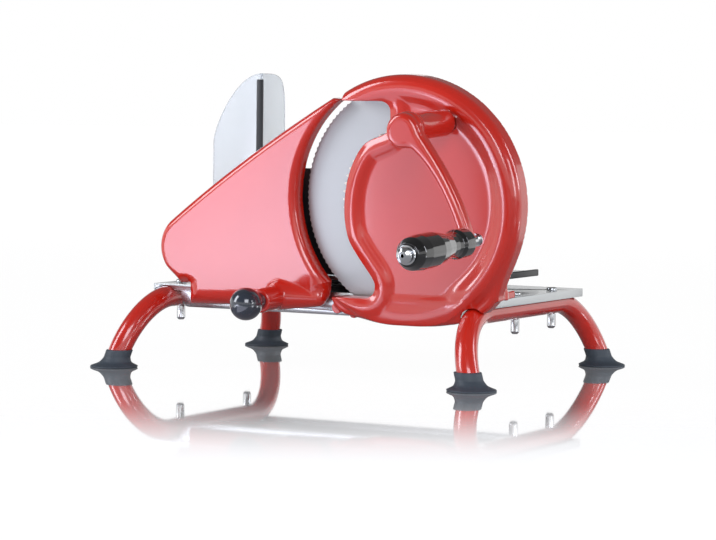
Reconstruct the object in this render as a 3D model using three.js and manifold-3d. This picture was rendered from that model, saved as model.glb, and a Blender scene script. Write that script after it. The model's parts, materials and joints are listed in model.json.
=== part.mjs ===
// Hand cranked meat slicer in millimetres, +Z up. The crank side faces -Y, the food side +Y.
// The base stands level. The head, with blade, housing and gauge plate, leans a little
// towards the crank side and has a frame of its own: x across, y depth, z up in its plane.
import * as THREE from 'three';
import { mergeVertices } from 'three/addons/utils/BufferGeometryUtils.js';
import Module from 'manifold-3d';

const wasm = await Module();
wasm.setup();

const degrees = THREE.MathUtils.degToRad;
const quarterTurn = Math.PI / 2;

// Fits and cuts
const seatGap = 0.3; // between pieces that touch
const runningGap = 0.06; // radial, for what turns
const overrun = 4; // how far a cut runs past the faces that it opens
const closest = 0.01; // that two corners of an outline may lie together
const roundSides = 20;
const smallSides = 10;

// Arches: two bent tubes that carry the base plate
const tube = { diameter: 18, wall: 1.5, sides: 12 };
const arch = {
  bladeGap: 0.296, // from the blade's edge, level with the plate, out to a bar's centre line
  height: 56, // of a bar's centre line
  straight: 132,
  bendRadius: 58,
  splay: degrees(18), // how far the legs lean outwards
  bend: degrees(83.6),
  steps: 6, // along one bend
};
const tubeRadius = tube.diameter / 2;
const tubeFlat = tubeRadius * Math.cos(Math.PI / tube.sides);

// Rubber feet
const foot = {
  radius: 19.5,
  rim: 1.5,
  ringWidth: 4.5,
  hollow: 1,
  flareRadius: 12.4,
  flareRise: 3,
  flareHeight: 8,
  cuffRadius: 10.9,
  cuffHeight: 14.5,
  edge: 0.8,
  sides: 16,
};

// Base plate: folded stainless sheet
const sheet = 1.3;
const plate = {
  overhang: 12, // beyond the bars' centre lines
  front: -74,
  back: 95.5,
  sideFold: 6.5,
  frontFold: 18.3,
  frontFoldInset: 26.7, // of its deep part from the plate's sides
  frontFoldCorner: 7,
  lip: 5, // front fold beside the deep part
  tubeSlot: 1.2, // room round the tubes where they pass the lip
};
const plateUnder = arch.height + tubeFlat + seatGap;
const plateTop = plateUnder + sheet;

// Bolts that hold the plate on the bars
const bolt = { radius: 2, headRadius: 4.6, headHeight: 2.4, headEdge: 0.8, hole: 2.6 };
const capNut = { radius: 3.6, length: 12, dome: 2.4, bore: 2.4, grip: 7 };
const boltPlaces = [
  { name: 'left_front', y: -50 },
  { name: 'left_rear', y: 60 },
  { name: 'right_middle', y: -10 },
  { name: 'right_rear', y: 60 },
];

// Blade
const blade = {
  radius: 95,
  thickness: 1.6,
  bevelWidth: 11,
  edge: 0.35,
  teeth: 60,
  toothDepth: 1.3,
  bore: 15.3,
};
const ofBlade = (shares) => Object.fromEntries(
  Object.entries(shares).map(([name, share]) => [name, share * blade.radius]),
);

// Head: the blade stands just in front of the base plate's front fold
const headTilt = degrees(3.1);
const foldGap = 1; // between the blade's food side and the front fold
const headShares = {
  bladeHeight: 0.7968, // of the blade's centre over the base plate
  bladeX: 0.9158,
};
const { bladeHeight, bladeX } = ofBlade(headShares);
const barX = bladeX + Math.sqrt(blade.radius ** 2 - bladeHeight ** 2) + arch.bladeGap;
const plateHalf = barX + plate.overhang;
const wide = 2 * plateHalf; // further than any piece of the head reaches
const foldDrop = (bladeHeight + foldGap * Math.sin(headTilt)) / Math.cos(headTilt);
const headY = plate.front - foldGap * Math.cos(headTilt) - foldDrop * Math.sin(headTilt);

// Gears: the crank's pinion drives a toothed disc on the blade
const moduleShare = 0.02105; // of the blade's radius
const gearModule = moduleShare * blade.radius;
const pressureAngle = degrees(20);
const dedendumShare = 1.25;
const backlash = 0.3;
const gearTeeth = 56;
const pinionTeeth = 20;
const gearShares = {
  hubRadius: 0.2947,
  lighteningRadius: 0.0842,
  lighteningPlace: 0.4316,
};
const gear = {
  ...ofBlade(gearShares),
  front: -9,
  back: -3.1,
  recessRadius: 10.4,
  recess: 2.75,
  lighteningCount: 5,
};
const gearFlankShares = [0, 1];
const pinionFlankShares = [0, 0.4, 1];
const axleDistance = (gearTeeth + pinionTeeth) * gearModule / 2;
const crankDirection = degrees(57.36); // from the blade's axle up to the crank shaft
const crankX = bladeX + axleDistance * Math.cos(crankDirection);
const crankZ = axleDistance * Math.sin(crankDirection);
const gearTip = (gearTeeth / 2 + 1) * gearModule;

// Blade axle and what holds the blade on it
const axle = { radius: 7, front: -15.2, back: -3 };
const axleScrew = {
  headRadius: 10,
  headHeight: 2,
  radius: 2.5,
  length: 9,
  slotWidth: 1.6,
  slotDepth: 0.8,
};
const bladeScrew = { headRadius: 2.9, radius: 1.5, length: 4.4, count: 3, sink: 0.1 };
const bladeScrewShare = 0.2316; // of the blade's radius, from its centre

// Housing: a thin cast pan round the blade, rolled at its rim, with an S-shaped window
const housing = {
  rimGap: 5.3, // between the blade's edge and the outside of the casting
  offset: 1.3, // of its centre from the blade's, across
  beadRadius: 11, // of the rolled rim
  beadDepth: 15, // of the roll's centre, in front of the blade
  faceDepth: 19,
  wall: 2.1,
  back: 4,
  segments: 44,
};
const housingRadius = blade.radius + housing.rimGap;
const openingShares = {
  top: 0.8421,
  bottom: 0.8189,
  right: -0.1579, // from the blade's centre
  cornerRadius: 0.0737,
  arcRadius: 0.6358, // concentric with the blade
  lowRadius: 0.1768,
  lipStart: -0.7474, // the free end of the lower lip, from the blade's centre
  reach: 1.2632, // how far the cut runs to the left
};
const opening = {
  ...ofBlade(openingShares),
  skirt: 1.7, // wall that hides the gear
  beadHalf: 8,
  beadFront: 16, // where the roll along the window begins to round
  beadBack: 10,
  beadSteps: 30,
};
// Outline of the casting's foot, from the blade's centre
const footRailShares = {
  top: -0.7789,
  left: -0.6737,
  bottomLeft: -0.9874,
  dipX: -0.0737,
  dipZ: -1.0442,
  rightX: 0.4389,
  rightZ: -0.9947,
  bulgeX: 0.8368,
  bulgeZ: -0.7674,
  cheekX: 0.9053,
  cheekZ: -0.6,
  mergeX: 0.9789,
  mergeZ: -0.3789,
  inside: 0.1684,
};
const footRail = { ...ofBlade(footRailShares), depth: 18.5, edge: 2.5 };
const padShares = {
  armLeft: 0.7474, // from the blade's centre
  armRight: 0.8421,
  armTop: -0.6526,
};
const pad = {
  ...ofBlade(padShares),
  edge: 5.2, // metal beside the screw
  armDepth: 4,
  depth: 17, // behind the front fold
  thickness: 6,
  screwBack: 11,
};
const padScrew = { headRadius: 4.2, headHeight: 2.4, radius: 2.4, length: 15, hole: 2.8 };
const flangeScrew = {
  headRadius: 3.6,
  headHeight: 2.2,
  radius: 1.9,
  length: 12,
  hole: 2.3,
  bossRadius: 4.6,
};
const flangeScrewShares = { left: -0.6526, right: -0.4947 };
const flangeScrewDrops = { left: 10.2, right: 13.2 }; // below the plate's top
const flangeScrewPlaces = Object.entries(flangeScrewShares).map(([name, share]) => ({
  name,
  x: share * blade.radius,
  z: -foldDrop - flangeScrewDrops[name],
}));

// Crank shaft and its bush
const shaft = { radius: 5, front: -92, back: -2.3 };
const bush = { radius: 6.8, front: -26.5, back: -10.6, bossRadius: 11, bossBack: -10.2 };
const pinion = { front: -9.3, back: -2.8 };

// Crank arm
const arm = {
  front: -98,
  back: -78,
  hubRadius: 15,
  waist: 5.2, // half the arm's width at its end
  taperPower: 4.5,
  edge: 3,
  bossRadius: 10.5,
  bossFlare: 14,
  bossFlareStart: -62,
  bossBack: -27,
  boreEnd: -92.4,
  bowX: 37, // how the arm bows outwards, from the shaft
  bowZ: -32,
  steps: 10,
};
const handleX = 52; // of the handle from the crank shaft
const handleZ = -84;
const setScrew = { radius: 2.4, length: 5, place: -40, hole: 2.7 };

// Handle: a turned grip that spins on a spindle
const spindle = { radius: 3.5, front: -190, back: -76.6, headRadius: 5, headHeight: 1.2 };
const gripWasher = { radius: 8, thickness: 1 };
const grip = {
  collarRadius: 11.2,
  collarLength: 17,
  waistRadius: 7.6,
  waistPlace: 28,
  fatRadius: 13.2,
  fatPlace: 66,
  endRadius: 8.6,
  length: 91,
  edge: 1.2,
};
const endCap = {
  radius: 7.4,
  thickness: 1.8,
  groove: 4.6,
  grooveWidth: 1.6,
  tipRadius: 6.1,
  tipLength: 4.2,
};

// Gauge plate: the red plate left of the blade, moved in depth to set the slice. Its outline
// is measured from the middle of the base, level with the blade's centre.
const gaugeShares = {
  tipX: 0.2389,
  tipZ: 0.8505,
  tipArc: 0.8421, // height at which the concave edge ends
  bluntArc: 0.7263, // and where its rounded front ends
  crestX: -0.64,
  crestZ: 0.3453,
  noseX: -1.1853,
  noseZ: -0.4547,
  noseRadius: 0.2947,
  stepLeft: -1.3221,
  stepRight: -1.2263,
  stepZ: -0.7737,
  bottomLeftZ: -0.9568,
  sagX: -0.5789,
  sagZ: -0.9432,
  bottomX: 0.0737,
  bottomZ: -0.8768,
  cornerX: 0.1432,
  cornerZ: -0.8632,
  arcStart: -0.6947,
  edge: 0.0421,
};
const gauge = {
  ...ofBlade(gaugeShares),
  back: -2,
  front: -16,
  edgeDepth: 5,
  bladeGap: 3.3,
  crestSteps: 10,
  noseStart: degrees(128.7),
  noseEnd: degrees(217),
};

// Thickness adjuster: ball knob, spindle, nut, guide pins
const adjusterShare = -0.2947; // of the blade's radius, from the middle of the base
const adjuster = {
  x: adjusterShare * blade.radius,
  drop: 3.7, // below the plate's top
  bossRadius: 11.7,
  bossFront: -47,
  spindleRadius: 4,
  spindleFront: -64,
  spindleBack: 20,
  collarRadius: 7,
  collarDepth: 3,
  pocketDepth: 6.2,
  retainerDepth: 1.5,
};
const adjusterZ = -foldDrop - adjuster.drop;
const knob = { radius: 13, centre: -67, neckRadius: 7, sides: 16 };
const spindleNut = {
  radius: 5.6,
  flangeRadius: 8,
  flangeDepth: 1.6,
  bodyRadius: 6.2,
  length: 14,
  bore: 4.4,
};
const nutSlot = { width: 18.6, depth: 24 };
const guidePin = { radius: 3, front: -11, back: 30, drop: 7.8 };
const guidePinShares = { left: -1.0947, right: -0.6105 };
const guidePinXs = ofBlade(guidePinShares);
const guidePinZ = -foldDrop - guidePin.drop;
const pinBush = { radius: 4.4, flangeRadius: 5.3, flangeDepth: 1.4, length: 11 };

// Rail, runner and tray of the carriage
const rail = {
  leftInset: 6.7, // from the plate's sides
  rightInset: 41.7,
  y: 20,
  stem: 8,
  stemHeight: 3.6,
  head: 16,
  headHeight: 3,
  screwInset: 38,
};
const railLeft = rail.leftInset - plateHalf;
const railRight = plateHalf - rail.rightInset;
const railScrew = { headRadius: 3.6, radius: 1.9, length: 12, hole: 2.3, sink: 0.3 };
const runner = { left: -56, length: 58, width: 25, lip: 3.2, gap: 0.5 };
const tray = { left: -58, right: 112, front: -70, back: 98, height: 79, fold: 3, sheet: 1.5 };
const traySink = { headRadius: 3.4, radius: 1.7, length: 3.6, hole: 2.1 };
const traySinkXs = { left: -38, right: -8 };
const railHeadTop = plateTop + seatGap + rail.stemHeight + rail.headHeight;
const trayUnder = tray.height - tray.sheet;

// Pusher wall with its thumb guard, one clear moulding
const wall = {
  thickness: 3,
  top: 241,
  finDepth: 35,
  finShoulder: 195,
  low: 130,
  rearRadius: 26,
  guardWidth: 43,
  guardShoulder: 184,
  guardLow: 118,
  guardFoot: 86,
  footWidth: 14,
  footFront: -40,
  footBack: 90,
  rivetInset: 9,
};
const rivet = { headRadius: 3.2, headHeight: 1.2, radius: 1.6, hole: 1.9 };
const rivetYs = { front: -28, rear: 78 };
const strip = { width: 6, depth: 1.4, bottom: 95, top: 236 };
const trim = { front: 40, thickness: 3, bottom: 75, top: 80.5 };

// Remnant holder: presses the last of the food against the blade and rides on the wall
const holder = {
  left: -53.5,
  right: 46,
  front: -68.5,
  thickness: 4,
  bottom: 80,
  top: 165,
  corner: 18,
  notchRight: -43, // clear of the wall's foot
  notchTop: 85,
  armBottom: 106,
  armTop: 127,
  clipFront: -30,
  clipBack: 5,
  clipBottom: 112,
  clipTop: 137,
  clipLeft: -63,
  clipRight: -50,
  slotGap: 0.7,
  spikes: 5,
  spikeRows: 3,
  spikeSides: 5,
  spikeRadius: 1.6,
  spikeHeight: 2.2,
};

// Finishes
const redPaint = { color: 0xc8221c, roughness: 0.18, metalness: 0.0 };
const stainless = { color: 0xc9ccce, roughness: 0.28, metalness: 1.0 };
const brightSteel = { color: 0xd9dbdd, roughness: 0.15, metalness: 1.0 };
const rubber = { color: 0x3c474f, roughness: 0.7, metalness: 0.0 };
const blackGloss = { color: 0x0c0c0d, roughness: 0.12, metalness: 0.0 };
const blackPlastic = { color: 0x17181a, roughness: 0.45, metalness: 0.0 };
const bluePlastic = { color: 0x2f3743, roughness: 0.3, metalness: 0.0 };
const clearPlastic = { color: 0xdfe6e6, roughness: 0.25, metalness: 0.0 };
const gearPlastic = { color: 0xe8e6dc, roughness: 0.5, metalness: 0.0 };
const brass = { color: 0xb9974f, roughness: 0.3, metalness: 1.0 };

// Geometry helpers

// Merged corners, no empty triangles, faces turned outwards
function closed(geometry) {
  const bare = geometry.clone();
  bare.deleteAttribute('normal');
  bare.deleteAttribute('uv');
  const merged = mergeVertices(bare);
  const corners = merged.attributes.position;
  const index = merged.index.array;
  const [a, b, c] = [new THREE.Vector3(), new THREE.Vector3(), new THREE.Vector3()];
  const kept = [];
  let volume = 0;
  for (let i = 0; i < index.length; i += 3) {
    const [ia, ib, ic] = [index[i], index[i + 1], index[i + 2]];
    if (ia === ib || ib === ic || ic === ia) continue;
    kept.push(ia, ib, ic);
    a.fromBufferAttribute(corners, ia);
    b.fromBufferAttribute(corners, ib);
    c.fromBufferAttribute(corners, ic);
    volume += a.dot(b.cross(c));
  }
  if (volume < 0) kept.reverse();
  merged.setIndex(kept);
  merged.computeVertexNormals();
  return merged;
}

function solidOf(geometry) {
  const clean = closed(geometry);
  return new wasm.Manifold(new wasm.Mesh({
    numProp: 3,
    vertProperties: new Float32Array(clean.attributes.position.array),
    triVerts: new Uint32Array(clean.index.array),
  }));
}

function geometryOf(solid) {
  const mesh = solid.getMesh();
  const geometry = new THREE.BufferGeometry();
  geometry.setAttribute('position', new THREE.BufferAttribute(new Float32Array(mesh.vertProperties), 3));
  geometry.setIndex(new THREE.BufferAttribute(new Uint32Array(mesh.triVerts), 1));
  geometry.computeVertexNormals();
  return geometry;
}

function joined(first, ...rest) {
  return geometryOf(rest.reduce((sum, next) => sum.add(solidOf(next)), solidOf(first)));
}

function cut(body, ...tools) {
  return geometryOf(tools.reduce((left, tool) => left.subtract(solidOf(tool)), solidOf(body)));
}

const common = (first, second) => geometryOf(solidOf(first).intersect(solidOf(second)));

// Block between two corners
function block(x0, x1, y0, y1, z0, z1) {
  const geometry = new THREE.BoxGeometry(x1 - x0, y1 - y0, z1 - z0);
  return geometry.translate((x0 + x1) / 2, (y0 + y1) / 2, (z0 + z1) / 2);
}

// Revolved about y, with the profile as [radius, depth] pairs
function turned(profile, sides = roundSides) {
  return closed(new THREE.LatheGeometry(profile.map(([r, y]) => new THREE.Vector2(r, y)), sides));
}

// Revolved about z, with the profile as [radius, height] pairs
const upright = (profile, sides = roundSides) => turned(profile, sides).rotateX(quarterTurn);

// Round rod along y, or along z
function rod(radius, y0, y1, sides = roundSides) {
  return new THREE.CylinderGeometry(radius, radius, y1 - y0, sides).translate(0, (y0 + y1) / 2, 0);
}
const post = (radius, z0, z1, sides = roundSides) => rod(radius, z0, z1, sides).rotateX(quarterTurn);

// A bore whose flats stay clear of a shaft by the running gap
const boreFor = (radius, sides = roundSides) => (radius + runningGap) / Math.cos(Math.PI / sides);

// The corners of a shape without the doubled ones, where one curve ends and the next begins
function cornersOf(shape, curveSegments) {
  const points = shape.extractPoints(curveSegments).shape;
  const apart = (point, i) => point.distanceTo(points[(i + 1) % points.length]) > closest;
  return new THREE.Shape(points.filter(apart));
}

// Flat shape in x and z, extruded from one depth to another towards the viewer
function slab(shape, back, front, { curveSegments = 12, ...bevel } = {}) {
  const options = { depth: back - front, bevelEnabled: false, ...bevel };
  const geometry = new THREE.ExtrudeGeometry(cornersOf(shape, curveSegments), options);
  return closed(geometry.rotateX(quarterTurn).translate(0, back, 0));
}

// Arc of [x, y] points
function arcPoints(x, y, radius, from, to, count) {
  return Array.from({ length: count + 1 }, (_, i) => {
    const angle = from + (to - from) * i / count;
    return [x + radius * Math.cos(angle), y + radius * Math.sin(angle)];
  });
}

// A named piece of a group, drawn about its own origin and put at a place
function put(group, name, geometry, finish, x = 0, y = 0, z = 0) {
  const piece = new THREE.Mesh(closed(geometry), new THREE.MeshStandardMaterial(finish));
  piece.name = name;
  piece.position.set(x, y, z);
  group.add(piece);
}

// A curve in one plane, whose frames keep an axis square to that plane
class FlatCurve extends THREE.Curve {
  constructor(square) {
    super();
    this.square = square;
  }

  computeFrenetFrames(segments) {
    const tangents = Array.from({ length: segments + 1 }, (_, i) => this.getTangentAt(i / segments));
    const normals = tangents.map((tangent) => new THREE.Vector3().crossVectors(this.square, tangent));
    return { tangents, normals, binormals: tangents.map(() => this.square.clone()) };
  }
}

const base = new THREE.Group();
const head = new THREE.Group();
head.rotation.x = headTilt;
head.position.set(0, headY, plateTop + bladeHeight);
head.updateMatrix();
const headInverse = head.matrix.clone().invert();
const intoHead = (geometry) => geometry.clone().applyMatrix4(headInverse);
const outOfHead = (geometry) => geometry.clone().applyMatrix4(head.matrix);

// Arches

// Centre line of an arch in its own plane: a bend, the straight bar, a bend
class ArchLine extends FlatCurve {
  constructor(bend) {
    super(new THREE.Vector3(0, 0, 1));
    this.bend = bend;
  }

  getPoint(t, target = new THREE.Vector3()) {
    const step = t * (2 * arch.steps + 1) - arch.steps;
    const end = step < 0.5 ? -1 : 1;
    const turn = this.bend * Math.max(-step, step - 1, 0) / arch.steps;
    const onBar = (THREE.MathUtils.clamp(step, 0, 1) - 0.5) * arch.straight;
    const x = onBar + end * arch.bendRadius * Math.sin(turn);
    return target.set(x, arch.bendRadius * (1 - Math.cos(turn)), 0);
  }

  getPointAt(u, target) {
    return this.getPoint(u, target);
  }

  getTangentAt(u, target) {
    return this.getTangent(u, target);
  }
}

const legDown = (side) => new THREE.Vector3(side * Math.sin(arch.splay), 0, -Math.cos(arch.splay));

// From the arch's own plane to its place on the left (-1) or right (1)
function archMatrix(side) {
  const along = new THREE.Vector3(0, 1, 0);
  const down = legDown(side);
  const across = new THREE.Vector3().crossVectors(along, down);
  const matrix = new THREE.Matrix4().makeBasis(along, down, across);
  return matrix.setPosition(side * barX, 0, arch.height);
}

// The tube's round section, turned so that a flat lies on top of the bar
function archRound(side, radius) {
  const turn = side * arch.splay + Math.PI + Math.PI / tube.sides;
  return arcPoints(0, 0, radius, turn, turn + 2 * Math.PI, tube.sides).slice(1)
    .map(([x, y]) => new THREE.Vector2(x, y));
}

function archTube(side, outer, inner, bend) {
  const shape = new THREE.Shape(archRound(side, outer));
  if (inner > 0) shape.holes.push(new THREE.Path(archRound(side, inner)));
  const options = { steps: 2 * arch.steps + 1, extrudePath: new ArchLine(bend) };
  return closed(new THREE.ExtrudeGeometry(shape, options)).applyMatrix4(archMatrix(side));
}

const sideOf = (place) => (place.name.startsWith('left') ? -1 : 1);
const boltX = (place) => sideOf(place) * barX;
const padScrewX = barX;
const padScrewY = plate.front + pad.screwBack;

function archPiece(side) {
  const holes = boltPlaces.filter((place) => sideOf(place) === side)
    .map((place) => post(bolt.hole, arch.height - tube.diameter, plateTop + overrun, smallSides)
      .translate(boltX(place), place.y, 0));
  if (side > 0) {
    const padHole = post(padScrew.hole, arch.height, plateTop + overrun, smallSides);
    holes.push(padHole.translate(padScrewX, padScrewY, 0));
  }
  return cut(archTube(side, tubeRadius, tubeRadius - tube.wall, arch.bend), ...holes);
}

// Feet: each is drawn upright, then leans with its leg
function putFoot(side, end, name) {
  const legEnd = new ArchLine(arch.bend).getPoint(end > 0 ? 1 : 0).applyMatrix4(archMatrix(side));
  const run = new THREE.Vector3(0, end * Math.cos(arch.bend), 0);
  run.addScaledVector(legDown(side), Math.sin(arch.bend));
  const ground = legEnd.clone().addScaledVector(run, -legEnd.z / run.z);
  const flare = new THREE.QuadraticBezierCurve(
    new THREE.Vector2(foot.radius, foot.rim),
    new THREE.Vector2(foot.flareRadius, foot.flareRise),
    new THREE.Vector2(foot.cuffRadius, foot.flareHeight),
  ).getPoints(3).map((point) => [point.x, point.y]);
  const profile = [
    [0, foot.hollow],
    [foot.radius - foot.ringWidth - foot.hollow, foot.hollow],
    [foot.radius - foot.ringWidth, 0],
    [foot.radius, 0],
    ...flare,
    [foot.cuffRadius, foot.cuffHeight - foot.edge],
    [foot.cuffRadius - foot.edge, foot.cuffHeight],
    [0, foot.cuffHeight],
  ];
  const lean = new THREE.Matrix4().makeShear(0, 0, 0, 0, run.x / run.z, run.y / run.z);
  const body = upright(profile, foot.sides).applyMatrix4(lean).translate(ground.x, ground.y, 0);
  const socket = archTube(side, tubeRadius + seatGap, 0, arch.bend + seatGap / arch.bendRadius);
  const geometry = cut(body, socket).translate(-ground.x, -ground.y, 0);
  put(base, name, geometry, rubber, ground.x, ground.y, 0);
}

for (const [side, sideName] of [[-1, 'left'], [1, 'right']]) {
  put(base, `${sideName}_arch_tube`, archPiece(side), redPaint);
  for (const [end, endName] of [[-1, 'front'], [1, 'rear']]) {
    putFoot(side, end, `${sideName}_${endName}_foot`);
  }
}

// Base plate

// Front fold of the plate in the head's plane
function frontFold() {
  const half = plateHalf;
  const deepHalf = plateHalf - plate.frontFoldInset;
  const top = -foldDrop + overrun;
  const lip = -foldDrop - plate.lip;
  const low = -foldDrop - plate.frontFold;
  const r = plate.frontFoldCorner;
  const shape = new THREE.Shape();
  shape.moveTo(-half, top);
  shape.lineTo(-half, lip);
  shape.lineTo(-deepHalf, lip);
  shape.lineTo(-deepHalf, low + r);
  shape.absarc(-deepHalf + r, low + r, r, Math.PI, 3 * quarterTurn, false);
  shape.absarc(deepHalf - r, low + r, r, -quarterTurn, 0, false);
  shape.lineTo(deepHalf, lip);
  shape.lineTo(half, lip);
  shape.lineTo(half, top);
  return slab(shape, foldGap + sheet, foldGap, { curveSegments: 3 });
}

function plateDrill(radius, x, y) {
  return post(radius, plateUnder - overrun, plateTop + overrun, smallSides).translate(x, y, 0);
}

function foldDrill(radius, x, z) {
  return outOfHead(rod(radius, -overrun, sheet + overrun, smallSides).translate(x, 0, z));
}

function basePlate() {
  const half = plateHalf;
  const backFold = plateTop - plate.sideFold;
  const sheetFront = plate.front + sheet / 2; // the fold makes the front edge
  const body = joined(
    block(-half, half, sheetFront, plate.back, plateUnder, plateTop),
    block(-half, -half + sheet, sheetFront, plate.back, backFold, plateTop),
    block(half - sheet, half, sheetFront, plate.back, backFold, plateTop),
    block(-half, half, plate.back - sheet, plate.back, backFold, plateTop),
    outOfHead(frontFold()),
  );
  const drills = [
    ...boltPlaces.map((place) => plateDrill(bolt.hole, boltX(place), place.y)),
    ...railScrewPlaces().map((x) => plateDrill(railScrew.hole, x, rail.y)),
    plateDrill(padScrew.hole, padScrewX, padScrewY),
    ...Object.values(guidePinXs).map((x) => foldDrill(pinBush.radius + seatGap, x, guidePinZ)),
    ...flangeScrewPlaces.map((place) => foldDrill(flangeScrew.hole, bladeX + place.x, place.z)),
    foldDrill(spindleNut.radius + seatGap, adjuster.x, adjusterZ),
  ];
  const top = plateTop + overrun;
  const slotLeft = adjuster.x - nutSlot.width / 2;
  const slotRight = adjuster.x + nutSlot.width / 2;
  const slotBack = plate.front + nutSlot.depth;
  const slot = block(slotLeft, slotRight, plate.front + sheet, slotBack, backFold, top);
  const gateHalf = spindleNut.radius + seatGap;
  const gateFront = plate.front - overrun;
  const gateLow = plateUnder - sheet;
  const gate = block(adjuster.x - gateHalf, adjuster.x + gateHalf, gateFront, slotBack, gateLow, top);
  const below = block(-half, half, 2 * plate.front, plate.back, 0, plateUnder);
  const room = (side) => common(archTube(side, tubeRadius + plate.tubeSlot, 0, arch.bend), below);
  const above = block(-wide, wide, gateFront, plate.back, plateTop, top + overrun);
  return cut(body, above, room(-1), room(1), ...drills, slot, gate);
}

const railScrewPlaces = () => [railLeft + rail.screwInset, railRight - rail.screwInset];

put(base, 'base_plate', basePlate(), stainless);

// Bolts and sleeve nuts of the base
for (const place of boltPlaces) {
  const nutTop = arch.height - tubeFlat - seatGap;
  const boltTop = plateTop + seatGap;
  const boltProfile = [
    [0, nutTop - capNut.grip],
    [bolt.radius, nutTop - capNut.grip],
    [bolt.radius, boltTop],
    [bolt.headRadius, boltTop],
    [bolt.headRadius, boltTop + bolt.headHeight - bolt.headEdge],
    [bolt.headRadius - bolt.headEdge, boltTop + bolt.headHeight],
    [0, boltTop + bolt.headHeight],
  ];
  const nut = [
    [capNut.bore, nutTop],
    [capNut.radius, nutTop],
    [capNut.radius, nutTop - capNut.length + capNut.dome],
    [capNut.radius - capNut.dome, nutTop - capNut.length],
    [0, nutTop - capNut.length],
    [0, nutTop - capNut.grip - seatGap],
    [capNut.bore, nutTop - capNut.grip - seatGap],
    [capNut.bore, nutTop],
  ];
  put(base, `${place.name}_bolt`, upright(boltProfile, smallSides), brightSteel, boltX(place), place.y, 0);
  put(base, `${place.name}_sleeve_nut`, upright(nut, smallSides), brightSteel, boltX(place), place.y, 0);
}

// Blade

function serratedBlade() {
  const disc = turned([
    [blade.bore, 0],
    [blade.radius + blade.edge, 0],
    [blade.radius + blade.edge, -blade.edge],
    [blade.radius - blade.bevelWidth, -blade.thickness],
    [blade.bore, -blade.thickness],
    [blade.bore, 0],
  ], 2 * roundSides);
  const points = [];
  for (let i = 0; i < 2 * blade.teeth; i += 1) {
    const radius = i % 2 ? blade.radius - blade.toothDepth : blade.radius;
    const angle = i * Math.PI / blade.teeth;
    points.push(new THREE.Vector2(radius * Math.cos(angle), radius * Math.sin(angle)));
  }
  const teeth = slab(new THREE.Shape(points), overrun, -overrun);
  return cut(common(disc, teeth), ...bladeScrewHoles());
}

function bladeScrewPlaces() {
  const place = bladeScrewShare * blade.radius;
  return arcPoints(0, 0, place, quarterTurn, quarterTurn + 2 * Math.PI, bladeScrew.count).slice(1);
}

const bladeScrewHoles = () => bladeScrewPlaces().map(([x, z]) => sunkScrew(seatGap).translate(x, 0, z));

// Countersunk screw of the blade, or its hole when it is grown by a gap
function sunkScrew(grow) {
  const top = grow > 0 ? overrun : -bladeScrew.sink;
  const headRadius = bladeScrew.headRadius + grow;
  const radius = bladeScrew.radius + grow;
  return turned([
    [0, top],
    [headRadius, top],
    [headRadius, -bladeScrew.sink],
    [radius, -bladeScrew.sink - bladeScrew.headRadius + bladeScrew.radius],
    [radius, -bladeScrew.length - grow],
    [0, -bladeScrew.length - grow],
  ].filter(([, y], i) => i !== 2 || y < top), smallSides);
}

put(head, 'blade', serratedBlade(), brightSteel, bladeX, 0, 0);

// Gears

// How far an involute has turned where it reaches a radius
function involute(baseRadius, radius) {
  const angle = Math.acos(Math.min(baseRadius / radius, 1));
  return Math.tan(angle) - angle;
}

function gearShape(teeth, flankShares, phase) {
  const pitch = teeth * gearModule / 2;
  const baseRadius = pitch * Math.cos(pressureAngle);
  const root = pitch - dedendumShare * gearModule;
  const tip = pitch + gearModule;
  const half = Math.PI / (2 * teeth) - backlash / (2 * pitch) + involute(baseRadius, pitch);
  const flank = flankShares.map((share) => {
    const radius = root + share * (tip - root);
    return [radius, half - involute(baseRadius, radius)];
  });
  const points = [];
  for (let i = 0; i < teeth; i += 1) {
    const centre = phase + i * 2 * Math.PI / teeth;
    const rising = flank.map(([radius, angle]) => [radius, centre - angle]);
    const falling = flank.map(([radius, angle]) => [radius, centre + angle]).reverse();
    for (const [radius, angle] of [...rising, ...falling]) {
      points.push(new THREE.Vector2(radius * Math.cos(angle), radius * Math.sin(angle)));
    }
  }
  return new THREE.Shape(points);
}

function bladeGear() {
  const toothed = slab(gearShape(gearTeeth, gearFlankShares, crankDirection), gear.back, gear.front);
  const hub = turned([
    [0, gear.front],
    [gear.hubRadius, gear.front],
    [gear.hubRadius, -blade.thickness - seatGap],
    [blade.bore - seatGap, -blade.thickness - seatGap],
    [blade.bore - seatGap, -seatGap],
    [0, -seatGap],
  ]);
  const recess = rod(gear.recessRadius, -seatGap - gear.recess, overrun);
  const through = gear.front - overrun;
  const bore = rod(boreFor(axle.radius), through, overrun);
  const windows = arcPoints(0, 0, gear.lighteningPlace, 0, 2 * Math.PI, gear.lighteningCount).slice(1)
    .map(([x, z]) => rod(gear.lighteningRadius, through, overrun, smallSides).translate(x, 0, z));
  return cut(joined(toothed, hub), recess, bore, ...windows, ...bladeScrewHoles());
}

put(head, 'blade_gear', bladeGear(), gearPlastic, bladeX, 0, 0);

bladeScrewPlaces().forEach(([x, z], i) => {
  put(head, `blade_screw_${i + 1}`, sunkScrew(0), brightSteel, bladeX + x, 0, z);
});

const axlePin = cut(
  rod(axle.radius, axle.front, axle.back),
  rod(axleScrew.radius + seatGap, axle.back - axleScrew.length, overrun, smallSides),
);
put(head, 'blade_axle', axlePin, brightSteel, bladeX, 0, 0);

function axleScrewPiece() {
  const seat = axle.back + seatGap;
  const top = seat + axleScrew.headHeight;
  const body = turned([
    [0, seat + seatGap - axleScrew.length],
    [axleScrew.radius, seat + seatGap - axleScrew.length],
    [axleScrew.radius, seat],
    [axleScrew.headRadius, seat],
    [axleScrew.headRadius, top],
    [0, top],
  ]);
  const reach = axleScrew.headRadius + overrun;
  const half = axleScrew.slotWidth / 2;
  return cut(body, block(-reach, reach, top - axleScrew.slotDepth, top + overrun, -half, half));
}

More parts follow.
